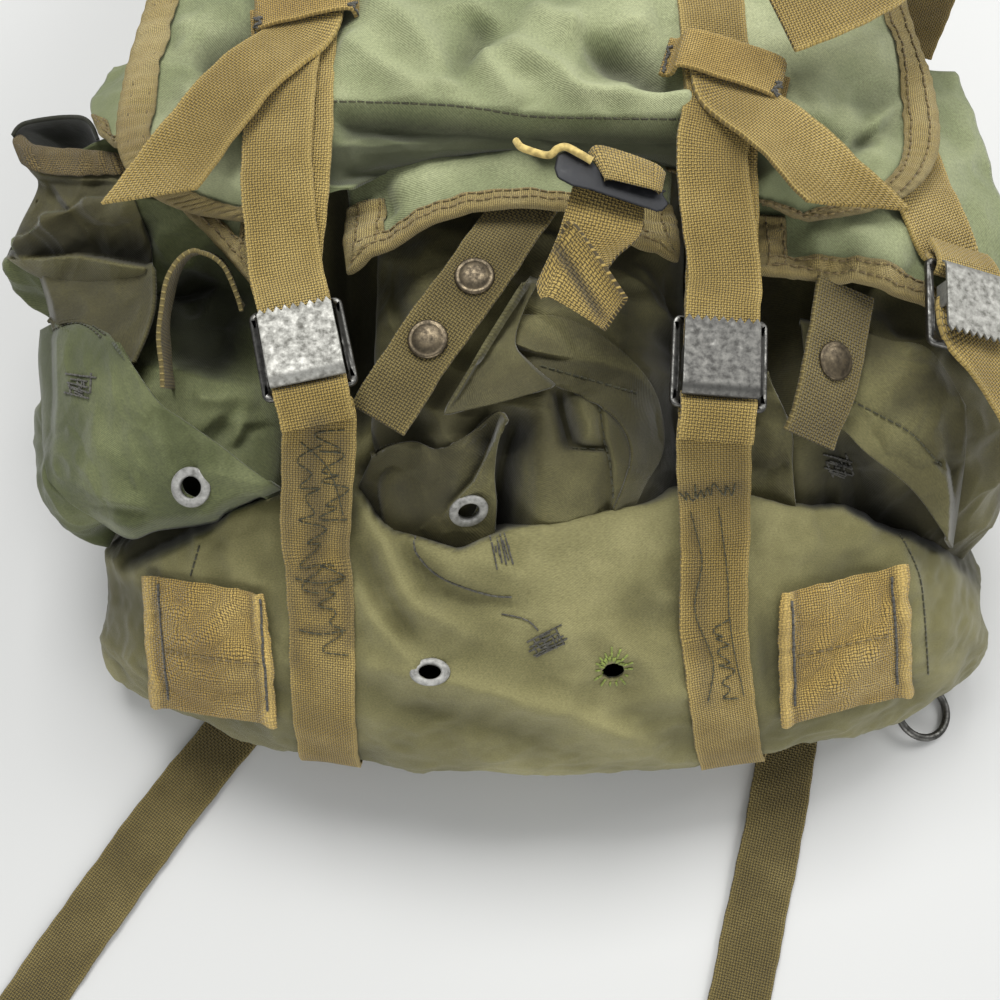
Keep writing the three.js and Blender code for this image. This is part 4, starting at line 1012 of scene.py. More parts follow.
LAYERS = {
    "left_pocket_back_wall": {
        # Darkened all over as painted shade inside the pocket mouth
        "cloth": "lining", "size": (60, 24), "grid": (50, 24), "node": "pocket_left", "painted_shade_and_stain": 0.9,
        "top": [(14, 137), (28, 124), (81, 119), (96, 140)],
        "right": [(96, 140), (101, 160)],
        "low": [(16, 146), (46, 158), (101, 160)],
        "left": [(14, 137), (16, 146)],
        "heights": (137, 146, 112, 112), "curl": (2, 0, 0, 0),
    },
    "left_pocket_upper_gusset": {
        "cloth": "olive", "size": (70, 60), "grid": (100, 90), "node": "pocket_left",
        "top": [(17, 140), (36, 151), (101, 155), (118, 158)],
        "right": [(118, 158), (136, 205), (150, 240), (153, 271)],
        "low": [(6, 258), (31, 274), (61, 285), (101, 286), (135, 278), (153, 271)],
        "left": [(17, 140), (28, 168), (38, 186), (20, 225), (6, 258)],
        "heights": (136, 148, 151, 118), "curl": (1, 0, -10, 0), "creases": 2.4,
        "folds": [
            [-15, 26, 9, 15, [
                (-20, 258), (6, 257), (46, 256), (80, 254), (116, 261), (152, 267), (175, 275),
            ]],
            [3, 8, -3, 8, [(50, 184), (60, 200), (83, 228), (92, 248)]],
            [1.5, 5, -2.0, 10, [(10, 160), (23, 166), (40, 177), (76, 182), (125, 183)]],
        ],
        "over": ["left_pocket"],
    },
    "left_pocket_yoke": {
        "cloth": "olive", "size": (38, 30), "grid": (60, 46), "node": "pocket_left",
        "top": [(36, 268), (60, 278), (101, 278), (152, 262)],
        "right": [(152, 262), (153, 300), (146, 330), (130, 366)],
        "low": [(52, 330), (80, 324), (107, 340), (130, 366)],
        "left": [(36, 268), (46, 300), (52, 330)],
        "heights": (120, 146, 147, 130), "curl": (0, 4, 0, 0), "over": ["left_pocket"],
    },
    "left_pocket_front_panel": {
        "cloth": "lining", "size": (80, 70), "grid": (120, 110), "node": "pocket_left",
        "top": [(40, 330), (58, 321), (80, 316), (107, 331)],
        "right": [(107, 331), (132, 364), (159, 402), (184, 420), (220, 445), (251, 469), (282, 490)],
        "low": [(48, 480), (70, 503), (92, 517), (129, 539), (159, 531), (211, 524), (233, 510), (282, 490)],
        "left": [(40, 330), (38, 360), (41, 400), (43, 451), (48, 480)],
        "heights": (126, 148, 134, 100), "swell": 12, "curl": (0, 7, 0, -3), "creases": 2.2,
        "folds": [
            [-4, 9, 3, 16, [(53, 500), (51, 457), (55, 396), (54, 340), (60, 310)]],
            [4, 26, 4, 26, [(80, 440), (120, 455), (170, 440)]],
            [3, 20, 3, 20, [(90, 370), (120, 400), (150, 420)]],
            [3, 10, 3, 10, [(195, 470), (230, 478), (270, 488)]],
            [3, 14, -3, 14, [(70, 480), (110, 505), (150, 510)]],
        ],
        "over": ["left_pocket", "main_sack"],
    },
    "centre_pocket_left_lobe": {
        "cloth": "olive", "size": (52, 44), "grid": (90, 80), "node": "pocket_centre",
        "top": [(372, 456), (389, 446), (414, 441), (440, 449), (470, 433), (497, 412), (505, 420)],
        "right": [(505, 420), (498, 445), (495, 475), (497, 505), (494, 548)],
        "low": [(352, 500), (372, 522), (394, 536), (437, 550), (462, 558), (494, 548)],
        "left": [(372, 456), (362, 478), (352, 500)],
        "heights": (136, 149, 104, 106), "swell": 9, "curl": (4, 6, 0, 0), "creases": 2.4,
        "folds": [
            [-7, 14, -7, 14, [(395, 480), (408, 505), (425, 525)]],
            [-9, 20, 5, 16, [(440, 520), (450, 504), (473, 481), (483, 461), (493, 440), (501, 415)]],
            [-4, 9, -4, 9, [(430, 440), (445, 462), (455, 482)]],
            [4, 14, 4, 14, [(460, 440), (470, 455), (462, 480)]],
        ],
        "over": ["centre_pocket"],
    },
    "centre_pocket_gusset": {
        "cloth": "olive", "size": (90, 22), "grid": (140, 50), "node": "pocket_centre",
        "top": [
            (512, 314), (560, 317), (598, 333), (631, 359), (654, 389), (664, 425), (662, 456), (646, 484),
            (632, 515),
        ],
        "right": [(632, 515), (612, 518)],
        "low": [
            (512, 346), (552, 384), (585, 396), (611, 412), (626, 430), (633, 455), (626, 484), (612, 518),
        ],
        "left": [(512, 314), (508, 330), (512, 346)],
        "heights": (160, 112, 110, 156), "swell": 4, "curl": (-2, 0, 4, 0), "creases": 1.4,
        "folds": [
            [4, 14, -5, 10, [(500, 340), (534, 354), (560, 359), (598, 363), (634, 374), (660, 402)]],
            [-5, 9, -5, 9, [(640, 420), (648, 450), (636, 480)]],
            [-3, 8, -3, 8, [(570, 330), (600, 345), (630, 352)]],
        ],
        "over": ["centre_pocket"],
    },
    "centre_pocket_upper_fold": {
        "cloth": "olive", "size": (40, 40), "grid": (70, 80), "node": "pocket_centre",
        "top": [(530, 276), (540, 280)],
        "right": [(540, 280), (524, 310), (516, 343), (532, 364), (556, 384)],
        "low": [(444, 414), (470, 409), (493, 404), (529, 394), (556, 384)],
        "left": [(530, 276), (488, 343), (458, 394), (444, 414)],
        "heights": (164, 164, 157, 150), "swell": 2, "curl": (0, 0, 5, 3), "creases": 1.2,
        "folds": [[4, 5, -3, 16, [(444, 414), (458, 394), (488, 343), (534, 276)]]],
        "over": ["centre_pocket"],
    },
    "right_pocket_left_lobe": {
        "cloth": "olive", "size": (24, 54), "grid": (50, 90), "node": "pocket_right",
        "top": [(728, 350), (762, 364)],
        "right": [(762, 364), (785, 411), (793, 436), (793, 468), (797, 516)],
        "low": [(722, 500), (767, 512), (797, 516)],
        "left": [(728, 350), (724, 420), (722, 500)],
        "heights": (154, 157, 108, 106), "swell": 8, "curl": (0, 5, 0, 0), "creases": 2.0,
        "folds": [
            [-5, 12, -5, 12, [(745, 455), (768, 468), (790, 462)]],
            [3, 10, 3, 10, [(740, 440), (760, 425), (785, 432)]],
        ],
        "over": ["right_pocket"],
    },
    "right_pocket_diagonal_fold": {
        "cloth": "olive", "size": (50, 60), "grid": (90, 100), "node": "pocket_right",
        "top": [(800, 318), (850, 328), (890, 340), (930, 350), (966, 405)],
        "right": [(966, 405), (966, 450), (960, 500), (953, 548)],
        "low": [(812, 408), (838, 424), (865, 452), (914, 492), (953, 548)],
        "left": [(800, 318), (806, 370), (812, 408)],
        "heights": (142, 138, 108, 132), "swell": 5, "curl": (0, 0, 7, 2), "creases": 2.0,
        "folds": [
            [3, 12, -2, 12, [(950, 480), (914, 436), (850, 398)]],
            [5, 16, 5, 16, [(855, 402), (902, 373), (914, 336)]],
            [-6, 14, -6, 14, [(880, 420), (925, 385), (950, 360)]],
            [-5, 14, 4, 20, [(944, 430), (952, 500), (950, 560)]],
        ],
        "over": ["right_pocket"],
    },
}
# Olive layers take the olive twill darkened as painted shade
LAYER_CLOTH = {"olive": SHADED, "lining": LINING}
CLOTH_HOLES = {"left_pocket_front_panel": (192, 487), "centre_pocket_left_lobe": (468, 509)}
hole_places = {}
for name, layer in LAYERS.items():
    surface, tones = layer_surface(layer)
    body = sheet_mesh(*layer["grid"], surface, layer["size"], tones)
    if name in CLOTH_HOLES:
        body.normal_update()
        trees[name] = BVHTree.FromBMesh(body)
        hole_places[name] = cast([name], *CLOTH_HOLES[name])
        pierce(body, hole_places[name][0], HOLE)
    add_piece(name, body, LAYER_CLOTH[layer["cloth"]], [layer["node"]], thickness=CLOTH)

# Storm flap and pocket flaps: grid, flat size and tone of each
FLAP_GRID = (170, 220)
FLAP_FLAT = (300, 430)
FLAP_TONE = (5, 9)
# Painted shade on the hem where it turns under, and how fast it rises
HEM_PAINTED_SHADE = 0.72
HEM_SHADE_RISE = 9
SMALL_FLAP_GRID = (70, 74)
SMALL_FLAP_FLAT = (100, 105)
SMALL_FLAP_TONE = (6, 16)


# Wear and painted highlight on crests, painted shade in hollows and on the turned-under hem
def flap_tone(u, v):
    wear_and_highlight_amount, shade_and_stain_amount = tone(flap_relief(u, v)[1], *FLAP_TONE)
    return wear_and_highlight_amount, np.maximum(shade_and_stain_amount, HEM_PAINTED_SHADE * np.clip(hem_turn(u, v) * HEM_SHADE_RISE, 0, 1))


# Wear and painted highlight on crests, painted shade in hollows of each pocket flap's folds
def small_flap_tone(side):
    def tones(u, v):
        return tone(small_flap_relief(side, u, v)[1], *SMALL_FLAP_TONE)
    return tones


flap = sheet_mesh(*FLAP_GRID, storm_flap, FLAP_FLAT, flap_tone)
add_piece("storm_flap_cloth", flap, SAGE, ["storm_flap"], thickness=CLOTH)
for side in POCKET_FLAPS:
    small = sheet_mesh(*SMALL_FLAP_GRID, pocket_flap(side), SMALL_FLAP_FLAT, small_flap_tone(side))
    add_piece(f"{side}_pocket_flap", small, SAGE, [f"pocket_flap_{side}"], thickness=CLOTH)


# Stitches
THREAD_WIDTH = 0.55
THREAD_HEIGHT = 0.5
THREAD_LIFT = 0.35
FIRST_STITCH = 0.2
SPOT_STEP = 1.5


def add_stitches(name, runs, material, slot, nodes, length, gap, width=THREAD_WIDTH):
    """Short thread ends along runs of places and normals."""
    mesh = bmesh.new()
    for points, normals in runs:
        steps = np.linalg.norm(np.diff(points, axis=0), axis=1)
        reached = np.concatenate([[0], np.cumsum(steps)])
        for start in np.arange(FIRST_STITCH, reached[-1] - length, length + gap):
            ends = [
                [np.interp(spot, reached, points[:, axis]) for axis in range(3)]
                for spot in (start, start + length)
            ]
            near = np.searchsorted(reached, start + length / 2) - 1
            ahead = np.subtract(*ends[::-1])
            span = np.linalg.norm(ahead)
            ahead /= max(span, 1e-6)
            side = np.cross(normals[near], ahead)
            side /= max(np.linalg.norm(side), 1e-6)
            up = np.cross(ahead, side)
            axes = Matrix((ahead * span, side * width, up * THREAD_HEIGHT)).transposed().to_4x4()
            middle = np.mean(ends, axis=0) + up * THREAD_LIFT
            bmesh.ops.create_cube(mesh, size=MM, matrix=Matrix.Translation(Vector(middle * MM)) @ axes)
    add_piece(name, mesh, material, nodes)


def seen_runs(lines, over, lift):
    """Runs of places and normals under lines in the picture."""
    runs = []
    for line in lines:
        length = np.sum(np.hypot(*np.diff(np.array(line, dtype=float), axis=0).T))
        spots = border_at(line, np.linspace(0, 1, max(int(length / SPOT_STEP), 3)))
        hits = [cast(over, x, y) for x, y in spots]
        hits = [hit for hit in hits if hit is not None]
        if len(hits) > 2:
            normals = np.array([hit[1] for hit in hits])
            runs.append((np.array([hit[0] for hit in hits]) + normals * lift, normals))
    return runs


# Bindings fold over the cloth's edge
STITCH_ROWS = (0.16, 0.33)
BINDING_SECTION = [
    (11, 0.9), (10, 1.35), (6, 1.55), (2, 1.5), (-0.6, 0.9),
    (-1.2, -0.8), (-0.6, -2.4), (4, -2.9), (10, -2.7),
]
BINDING_COLUMNS = 16
BINDING_ROW = 1.4
BINDING_SPAN = 2.4 * TAPE_WIDTH
BINDING_CLOTH = 0.7
BINDING_STITCH = (2.4, 0.9)
PUCKER_WAVE = 0.9
PUCKER_DRIFT = 0.13


def add_binding(name, surface, border, length, pucker, material, slot, node):
    """Tape that wraps an edge, with two rows of stitches. border gives the edge and the way inward."""
    section = np.array(BINDING_SECTION, dtype=float)

    def place(u, v):
        along = rows_at(section, u)
        edge_u, edge_v, way_u, way_v = border(v)
        drift = 2 * np.sin(v * length * PUCKER_DRIFT)
        ripple = pucker * np.sin(v * length * PUCKER_WAVE + drift) * np.clip(along[:, 1], 0, 1)
        near_u = edge_u + way_u * np.maximum(along[:, 0], 0)
        near_v = edge_v + way_v * np.maximum(along[:, 0], 0)
        point = surface(near_u, near_v)
        normal = normals_of(surface, near_u, near_v)
        outward = surface(edge_u, edge_v) - surface(edge_u + way_u, edge_v + way_v)
        outward /= np.maximum(np.linalg.norm(outward, axis=1, keepdims=True), 1e-9)
        over = np.maximum(-along[:, 0], 0)
        return point + normal * (along[:, 1] + ripple)[:, None] + outward * over[:, None]
    mesh = sheet_mesh(BINDING_COLUMNS, int(length / BINDING_ROW), place, (BINDING_SPAN, length))
    add_piece(name, mesh, material, [node], thickness=BINDING_CLOTH)
    shares = np.linspace(0, 1, int(length))
    rows = [place(np.full(len(shares), across), shares) for across in STITCH_ROWS]
    inner = place(np.full(len(shares), STITCH_ROWS[0] + STEP), shares)
    across = inner - rows[0]
    along = np.gradient(rows[0], axis=0)
    faces = np.cross(along, across)
    faces /= np.maximum(np.linalg.norm(faces, axis=1, keepdims=True), 1e-9)
    faces *= np.sign(np.sum(faces * toward_eye(rows[0]), axis=1, keepdims=True))
    runs = [(row, faces) for row in rows]
    add_stitches(f"{name}_stitches", runs, BROWN_THREAD, slot, [node], *BINDING_STITCH)


BEND_SHARE = 0.042


def corner_border(side, root, width, length):
    """Border from the lower edge round one corner and up the side of a flap."""
    sign = 1 if side == "left" else -1
    start_u = 0.0 if side == "left" else 1.0

    def border(v):
        low = np.clip(1 - v / root["turn"], 0, 1)
        edge_u = start_u + sign * low * root["reach"]
        edge_v = np.clip((v - root["turn"]) / (1 - root["turn"]), 0, 1) * root["side"]
        bend = np.clip((v - root["turn"] + BEND_SHARE) / (2 * BEND_SHARE), 0, 1)
        return edge_u, edge_v, sign * bend / width, (1 - bend) / length
    return border


STORM_BORDER = {
    "left": {"turn": 0.112, "reach": 0.12, "side": 1.0},
    "right": {"turn": 0.21, "reach": 0.24, "side": 1.0},
}
STORM_SPAN = (260, 430)
STORM_TAPE = 470
STORM_PUCKER = 0.3
for side, root in STORM_BORDER.items():
    border = corner_border(side, root, *STORM_SPAN)
    add_binding(f"storm_flap_binding_{side}", storm_flap, border, STORM_TAPE, STORM_PUCKER, TAPE,
                "binding_tan", "storm_flap_binding")

SIDE_RUN = 0.2
TURN_START = 0.22
TURN_RUN = 0.05


def lower_border(width, length, side_share):
    """Border up the left side, along the lower edge and up the right side of a pocket flap."""
    def border(v):
        left = np.clip(1 - v / SIDE_RUN, 0, 1)
        right = np.clip((v - 1 + SIDE_RUN) / SIDE_RUN, 0, 1)
        edge_u = np.clip((v - SIDE_RUN) / (1 - 2 * SIDE_RUN), 0, 1)
        edge_v = np.maximum(left, right) * side_share
        bend_left = np.clip((TURN_START - v) / TURN_RUN, 0, 1)
        bend_right = np.clip((v - 1 + TURN_START) / TURN_RUN, 0, 1)
        return edge_u, edge_v, (bend_left - bend_right) / width, (1 - bend_left - bend_right) / length
    return border


SMALL_SPAN = (98, 105)
SMALL_SIDE = 0.25
SMALL_TAPE = 150
SMALL_PUCKER = 0.4
for side in POCKET_FLAPS:
    border = lower_border(*SMALL_SPAN, SMALL_SIDE)
    add_binding(f"{side}_pocket_flap_binding", pocket_flap(side), border, SMALL_TAPE, SMALL_PUCKER, TAPE,
                "binding_tan", f"pocket_flap_binding_{side}")

MOUTH_DEPTH = 60
MOUTH_TAPE = 48
MOUTH_PUCKER = 0.3


def mouth_border(v):
    return v, np.ones(len(v)), np.zeros(len(v)), np.full(len(v), -1 / MOUTH_DEPTH)


gusset = layer_surface(LAYERS["left_pocket_upper_gusset"])[0]
add_binding("left_pocket_mouth_binding", gusset, mouth_border, MOUTH_TAPE, MOUTH_PUCKER, BROWN_TAPE,
            "binding_brown", "pocket_mouth_binding_left")


# Straps
def width_way(yaw, tilt):
    yaw = np.radians(yaw)
    tilt = np.radians(tilt)
    return np.stack([np.cos(yaw) * np.cos(tilt), np.sin(yaw) * np.cos(tilt), np.sin(tilt)], axis=-1)


def ribbon_axes(rows, v):
    """Centre, width direction and face direction along a strap."""
    row = rows_at(rows, v)
    ahead = rows_at(rows, v + STEP)[:, :3] - rows_at(rows, v - STEP)[:, :3]
    ahead /= np.linalg.norm(ahead, axis=1, keepdims=True)
    side = width_way(row[:, 3], row[:, 4])
    side -= ahead * np.sum(side * ahead, axis=1, keepdims=True)
    side /= np.linalg.norm(side, axis=1, keepdims=True)
    return row[:, :3], side, np.cross(side, ahead)


def strap_runs(rows):
    """Shares of a strap's rows and the length reached at each."""
    shares = np.linspace(0, 1, 800)
    steps = np.linalg.norm(np.diff(rows_at(rows, shares)[:, :3], axis=0), axis=1)
    return shares, np.concatenate([[0], np.cumsum(steps)])


# Uneven edges of a strap: share of its width and rate. Sag of its face: height, rate and turn across
EDGE_WAVES = [(0.012, 0.21), (0.008, 0.57)]
FACE_WAVES = [(0.35, 0.09, 1.5), (0.18, 0.31, 4)]
SLANT_RUN = 40
STRAP_COLUMNS = 14
STRAP_ROW = 1.8
STRAP_ROUND = 0.45
WORN_EDGE = 0.82
WORN_EDGE_MOST = 0.3


def add_ribbon(name, rows, width, material, nodes, skew=0, stains_and_crease_shade=()):
    """Woven strap with slightly uneven edges, a little sag, stains, and a last end that may be cut aslant."""
    shares, runs = strap_runs(rows)
    length = runs[-1]

    def place(u, v):
        slant = skew * (2 * u - 1) * np.clip(1 - (1 - v) * length / SLANT_RUN, 0, 1)
        along = np.minimum(v * (length - abs(skew)) + slant, length)
        centre, side, up = ribbon_axes(rows, np.interp(along, runs, shares))
        reach = (u - 0.5) * width * (1 + sum(share * np.sin(along * rate) for share, rate in EDGE_WAVES))
        wave = sum(height * np.sin(along * rate + turn * u) for height, rate, turn in FACE_WAVES)
        return centre + side * reach[:, None] + up * wave[:, None]

    def tones(u, v):
        places = seen_at(place(u, v))
        shade_and_stain_amount = np.zeros(len(u))
        for depth, reach, line in stains_and_crease_shade:
            distance, _, _ = line_sides(line, places)
            shade_and_stain_amount = np.maximum(shade_and_stain_amount, depth * np.exp(-((distance / reach) ** 2)))
        return np.clip((np.abs(2 * u - 1) - WORN_EDGE) * 2, 0, WORN_EDGE_MOST), shade_and_stain_amount

    mesh = sheet_mesh(STRAP_COLUMNS, max(int(length / STRAP_ROW), 8), place, (width, length), tones)
    add_piece(name, mesh, material, nodes, thickness=WEBBING, offset=0, bevel=STRAP_ROUND)


def row_along(point, side):
    side = side / np.linalg.norm(side)
    return [*point, math.degrees(math.atan2(side[1], side[0])), math.degrees(math.asin(side[2]))]


# Buckle places: centre of the frame, turn in plan, side tilt
BUCKLES = {
    "left": [-76, -111, 170, 13, 0],
    "right": [67, -117, 171, -5, 0],
    "side": [158, -92, 163, 174, 18],
}
LOOP_ROUND_BAR = [
    (-27, -6.4), (-20, -3.2), (-15.6, -2.9), (-12.1, 0), (-15.6, 2.9), (-21, 1.4), (-28, -2.6),
]
FOLD_UNDER_PLATE = [
    (34, 2.6), (20, 2.4), (8, 2.4), (-1, 2.4), (-2.9, 3.9), (-1, 5.4), (8, 5.2), (20, 5.4), (34, 5.6),
]


def buckle_axes(buckle):
    yaw = math.radians(buckle[3])
    side = width_way(buckle[3], buckle[4])
    along = np.array([-math.sin(yaw), math.cos(yaw), 0])
    return side, along, np.cross(side, along)


def buckle_rows(buckle, table):
    side, along, up = buckle_axes(buckle)
    return [[*(np.array(buckle[:3]) + along * way + up * lift), *buckle[3:]] for way, lift in table]


# Sewn straps up the bottom panel, each looped round the bar of its buckle
ROW_REACH = 5
PANEL_HEIGHTS = [*np.linspace(14, 112, 30), 121, 124.5]
PANEL_LIFTS = [*np.full(30, 1.7), 3.4, 8]
SEWN_STRAPS = {"left": (-80, -74), "right": (97, 69)}
SEWN_STAINS = {
    "left": [
        [0.5, 13, [(318, 425), (308, 470), (322, 520), (310, 570), (320, 600)]],
        [0.45, 8, [(340, 440), (346, 540), (352, 640)]], [0.4, 6, [(290, 577), (350, 577)]],
        [0.4, 5, [(292, 629), (354, 629)]], [0.35, 7, [(286, 450), (288, 560), (296, 660)]],
    ],
    "right": [[0.4, 9, [(672, 492), (738, 486)]], [0.3, 8, [(694, 520), (700, 620), (708, 700)]]],
}


def panel_row(x, height, lift):
    v = one(share_at_height(height))
    near = above_bag(one(x - ROW_REACH), v, lift)[0]
    far = above_bag(one(x + ROW_REACH), v, lift)[0]
    return row_along(above_bag(one(x), v, lift)[0], far - near)


for side, (low_x, crest_x) in SEWN_STRAPS.items():
    places = np.linspace(low_x, crest_x, len(PANEL_HEIGHTS))
    rows = [panel_row(*spot) for spot in zip(places, PANEL_HEIGHTS, PANEL_LIFTS)]
    rows += buckle_rows(BUCKLES[side], LOOP_ROUND_BAR)
    add_ribbon(f"sewn_strap_{side}_webbing", rows, STRAP_WIDTH, KHAKI,
               [f"sewn_strap_{side}"], stains_and_crease_shade=SEWN_STAINS[side])


# Closing straps: down the flap, under the buckle plate, back up and out as a free tail
def flap_place(x, y, lift):
    shares = np.linspace(0, FLAP_TOP_SHARE, 400)
    flap_y, _, half, _, pull = rows_at(STORM_FLAP, shares).T
    run = flap_y + pull * (1 - ((x - FLAP_MIDDLE) / half) ** 2)
    v = np.interp(one(y), run, shares)
    u = ((x - FLAP_MIDDLE) / rows_at(STORM_FLAP, v)[:, 2] + 1) / 2
    return (plain_storm_flap(u, v) + normals_of(plain_storm_flap, u, v) * lift)[0]


def flap_row(x, y, lift):
    across = flap_place(x + ROW_REACH, y, lift) - flap_place(x - ROW_REACH, y, lift)
    return row_along(flap_place(x, y, lift), across)


STRAP_DOWN = [(125, 1.4), (80, 1.4), (40, 1.5), (10, 1.6), (-18, 1.8), (-44, 3.6)]
CLOSING_STRAPS = {
    "left": {
        "x": -80,
        "up": [(-44, 6.8, -6), (-18, 5, -5.5), (6, 3.8, -4), (18, 3.6, 0)],
        "tail": [
            [-77, 30, 188.2, -4, 10],
            [-78, 27.5, 189.7, -12, 10],
            [-79.5, 10, 189.4, -12, 9],
            [-98, -12, 191.6, -27, 4],
            [-117, -40, 189, -27, 0],
            [-136, -69, 185, -27, 0],
        ],
        "skew": -11,
    },
    "right": {
        "x": 70,
        "up": [(-44, 6.8, -4), (-30, 4.6, -2), (-20, 3.7, 0), (-12, 3.6, 0)],
        "tail": [
            [70.5, -3, 191.1, 4, -8],
            [72, -5.5, 192.3, 12, -8],
            [74, -21, 191.9, 14, -7],
            [92, -40, 193.4, 32, -4],
            [107, -58, 191.4, 32, 0],
            [124, -76, 188, 34, 0],
        ],
        "skew": 13,
    },
}
for side, strap in CLOSING_STRAPS.items():
    rows = [flap_row(strap["x"], y, lift) for y, lift in STRAP_DOWN]
    rows += buckle_rows(BUCKLES[side], FOLD_UNDER_PLATE)
    rows += [flap_row(strap["x"] + shift, y, lift) for y, lift, shift in strap["up"]]
    rows += strap["tail"]
    add_ribbon(f"closing_strap_{side}_webbing", rows, STRAP_WIDTH, KHAKI,
               [f"closing_strap_{side}"], strap["skew"])

# Keepers on the storm flap, each arched over its closing strap: middle, then slope in plan
KEEPER_ARCH = [
    (-22, 1.8), (-19.4, 1.8), (-17.8, 4.4), (-15.8, 9), (0, 9.6),
    (15.8, 9), (17.8, 4.4), (19.4, 1.8), (22, 1.8),
]
KEEPER_WIDTH = 17
KEEPERS = {"left": (-79, 20, 0.12), "right": (73, -10, -0.3)}
for side, (x, y, slope) in KEEPERS.items():
    yaw = 90 + math.degrees(math.atan(slope))
    rows = [[*flap_place(x + across, y + slope * across, lift), yaw, 0] for across, lift in KEEPER_ARCH]
    add_ribbon(f"keeper_{side}_webbing", rows, KEEPER_WIDTH, TAN, [f"keeper_{side}"])

# Side strap, its free end, the loose end over the storm flap, snap tabs and lower straps.
# Each row has a place, the turn of the width in plan, and its tilt in degrees.
SIDE_START = [[146, -22, 161, 186, 12], [150, -44, 162.5, 180, 15]]
SIDE_END = [[198, -148, 130, 216, 20], [184, -130, 146, 204, 20], [170, -113, 159, 188, 20]]
UPPER_END = [
    [90, -2, 205, -66, 0],
    [108, 4, 208, -62, 0],
    [128, 18, 207, -50, 0],
    [148, 42, 199, -34, 0],
    [166, 70, 180, -26, 0],
    [180, 92, 150, -22, 0],
    [188, 103, 108, -20, 0],
    [193, 108, 64, -20, 0],
]
side_upper = SIDE_START + buckle_rows(BUCKLES["side"], LOOP_ROUND_BAR)
UNDER_SIDE_PLATE = slice(2, 4)
side_lower = SIDE_END + buckle_rows(BUCKLES["side"], FOLD_UNDER_PLATE[UNDER_SIDE_PLATE])
TABS = {
    "left": [
        [-103, -84, 150, -70, 40],
        [-109, -71, 160, -66, 48],
        [-119, -69, 164, -70, 56],
        [-126, -80, 163, -74, 60],
        [-129, -98, 157, -76, 62],
        [-128, -116, 149, -76, 62],
    ],
    "centre": [
        [6, -40, 163, -32, 0],
        [-5, -60, 166, -32, 0],
        [-17, -81, 167, -32, 0],
        [-34, -105, 163, -32, 0],
        [-51, -132, 157, -32, 0],
    ],
    "right": [
        [119, -78, 156, 14, -20],
        [114, -100, 153, 16, -20],
        [109, -118, 150, 18, -20],
        [103, -134, 144, 18, -20],
    ],
}
TAB_WIDTH = {"left": 23, "centre": 23, "right": 25.4}
BASE_STRAPS = {
    "left": [
        [-123, -209, 0.9, -24, 0],
        [-133, -222, 2, -30, 0],
        [-160, -260, 3, -33, 0],
        [-186, -300, 2, -33, 0],
        [-210, -338, 0.9, -33, 0],
    ],
    "right": [
        [124, -209, 0.9, -10, 0],
        [120, -226, 2, -13, 0],
        [110, -264, 3, -15, 0],
        [99, -302, 2, -15, 0],
        [88, -342, 0.9, -15, 0],
    ],
}
LOOSE_STRAPS = {"side_strap_upper": side_upper, "side_strap_lower": side_lower, "upper_strap_end": UPPER_END}
for name, rows in LOOSE_STRAPS.items():
    add_ribbon(f"{name}_webbing", rows, STRAP_WIDTH, KHAKI, [name])
for side, rows in TABS.items():
    add_ribbon(f"snap_tab_{side}_webbing", rows, TAB_WIDTH[side], DARK, [f"snap_tab_{side}"])
for side, rows in BASE_STRAPS.items():
    add_ribbon(f"base_strap_{side}_webbing", rows, STRAP_WIDTH, DARK, [f"base_strap_{side}"])


# Loops on the bottom panel, laid on the cloth where the camera sees their corners
LOOP_CORNERS = {
    "left": [(149, 572), (267, 591), (280, 721), (155, 701)],
    "right": [(776, 592), (903, 563), (908, 690), (779, 720)],
}
LOOP_GRID = (52, 44)
LOOP_FLAT = (46, 50)
LOOP_SLACK = 3
LOOP_LIFT = 1.4 + WEBBING / 2
LOOP_WORN = 0.5
LOOP_DIRTY = 0.3
LOOP_DIRT_PLACE = 0.76
LOOP_DIRT_WIDTH = 0.05
ROLL_HEIGHT = 2.0
ROLL_PLACE = 0.045
ROLL_WIDTH = 0.04
LOOP_SMOOTHINGS = 2
LOOP_SMOOTH_SHARE = 0.4


def side_roll(u):
    """How far a loop's rolled side edges stand up, from 0 to 1."""
    return sum(np.exp(-(((u - place) / ROLL_WIDTH) ** 2)) for place in (ROLL_PLACE, 1 - ROLL_PLACE))


def loop_tone(u, v):
    dirt = np.exp(-(((np.abs(2 * u - 1) - LOOP_DIRT_PLACE) / LOOP_DIRT_WIDTH) ** 2))
    return LOOP_WORN * np.clip(side_roll(u), 0, 1), LOOP_DIRTY * dirt


def loop_surface(corners):
    top_left, top_right, low_right, low_left = np.array(corners, dtype=float)

    def place(u, v):
        top = top_left + (top_right - top_left) * u[:, None]
        low = low_left + (low_right - low_left) * u[:, None]
        seen = low + (top - low) * v[:, None]
        hits = [cast_near(["main_sack"], spot, seen.mean(axis=0)) for spot in seen]
        points = np.array([hit[0] for hit in hits])
        normals = np.array([hit[1] for hit in hits])
        slack = LOOP_SLACK * np.sin(math.pi * u) * np.sin(math.pi * v) ** 0.5
        lift = LOOP_LIFT + slack + ROLL_HEIGHT * side_roll(u)
        return points + normals * lift[:, None]
    return place


for side, corners in LOOP_CORNERS.items():
    mesh = sheet_mesh(*LOOP_GRID, loop_surface(corners), LOOP_FLAT, loop_tone)
    for _ in range(LOOP_SMOOTHINGS):
        bmesh.ops.smooth_vert(mesh, verts=mesh.verts, factor=LOOP_SMOOTH_SHARE,
                              use_axis_x=True, use_axis_y=True, use_axis_z=True)
    add_piece(f"bottom_loop_{side}_webbing", mesh, TAN, [f"bottom_loop_{side}"],
              thickness=WEBBING, offset=0, bevel=STRAP_ROUND)


# Metal parts
SHARP = 0.7


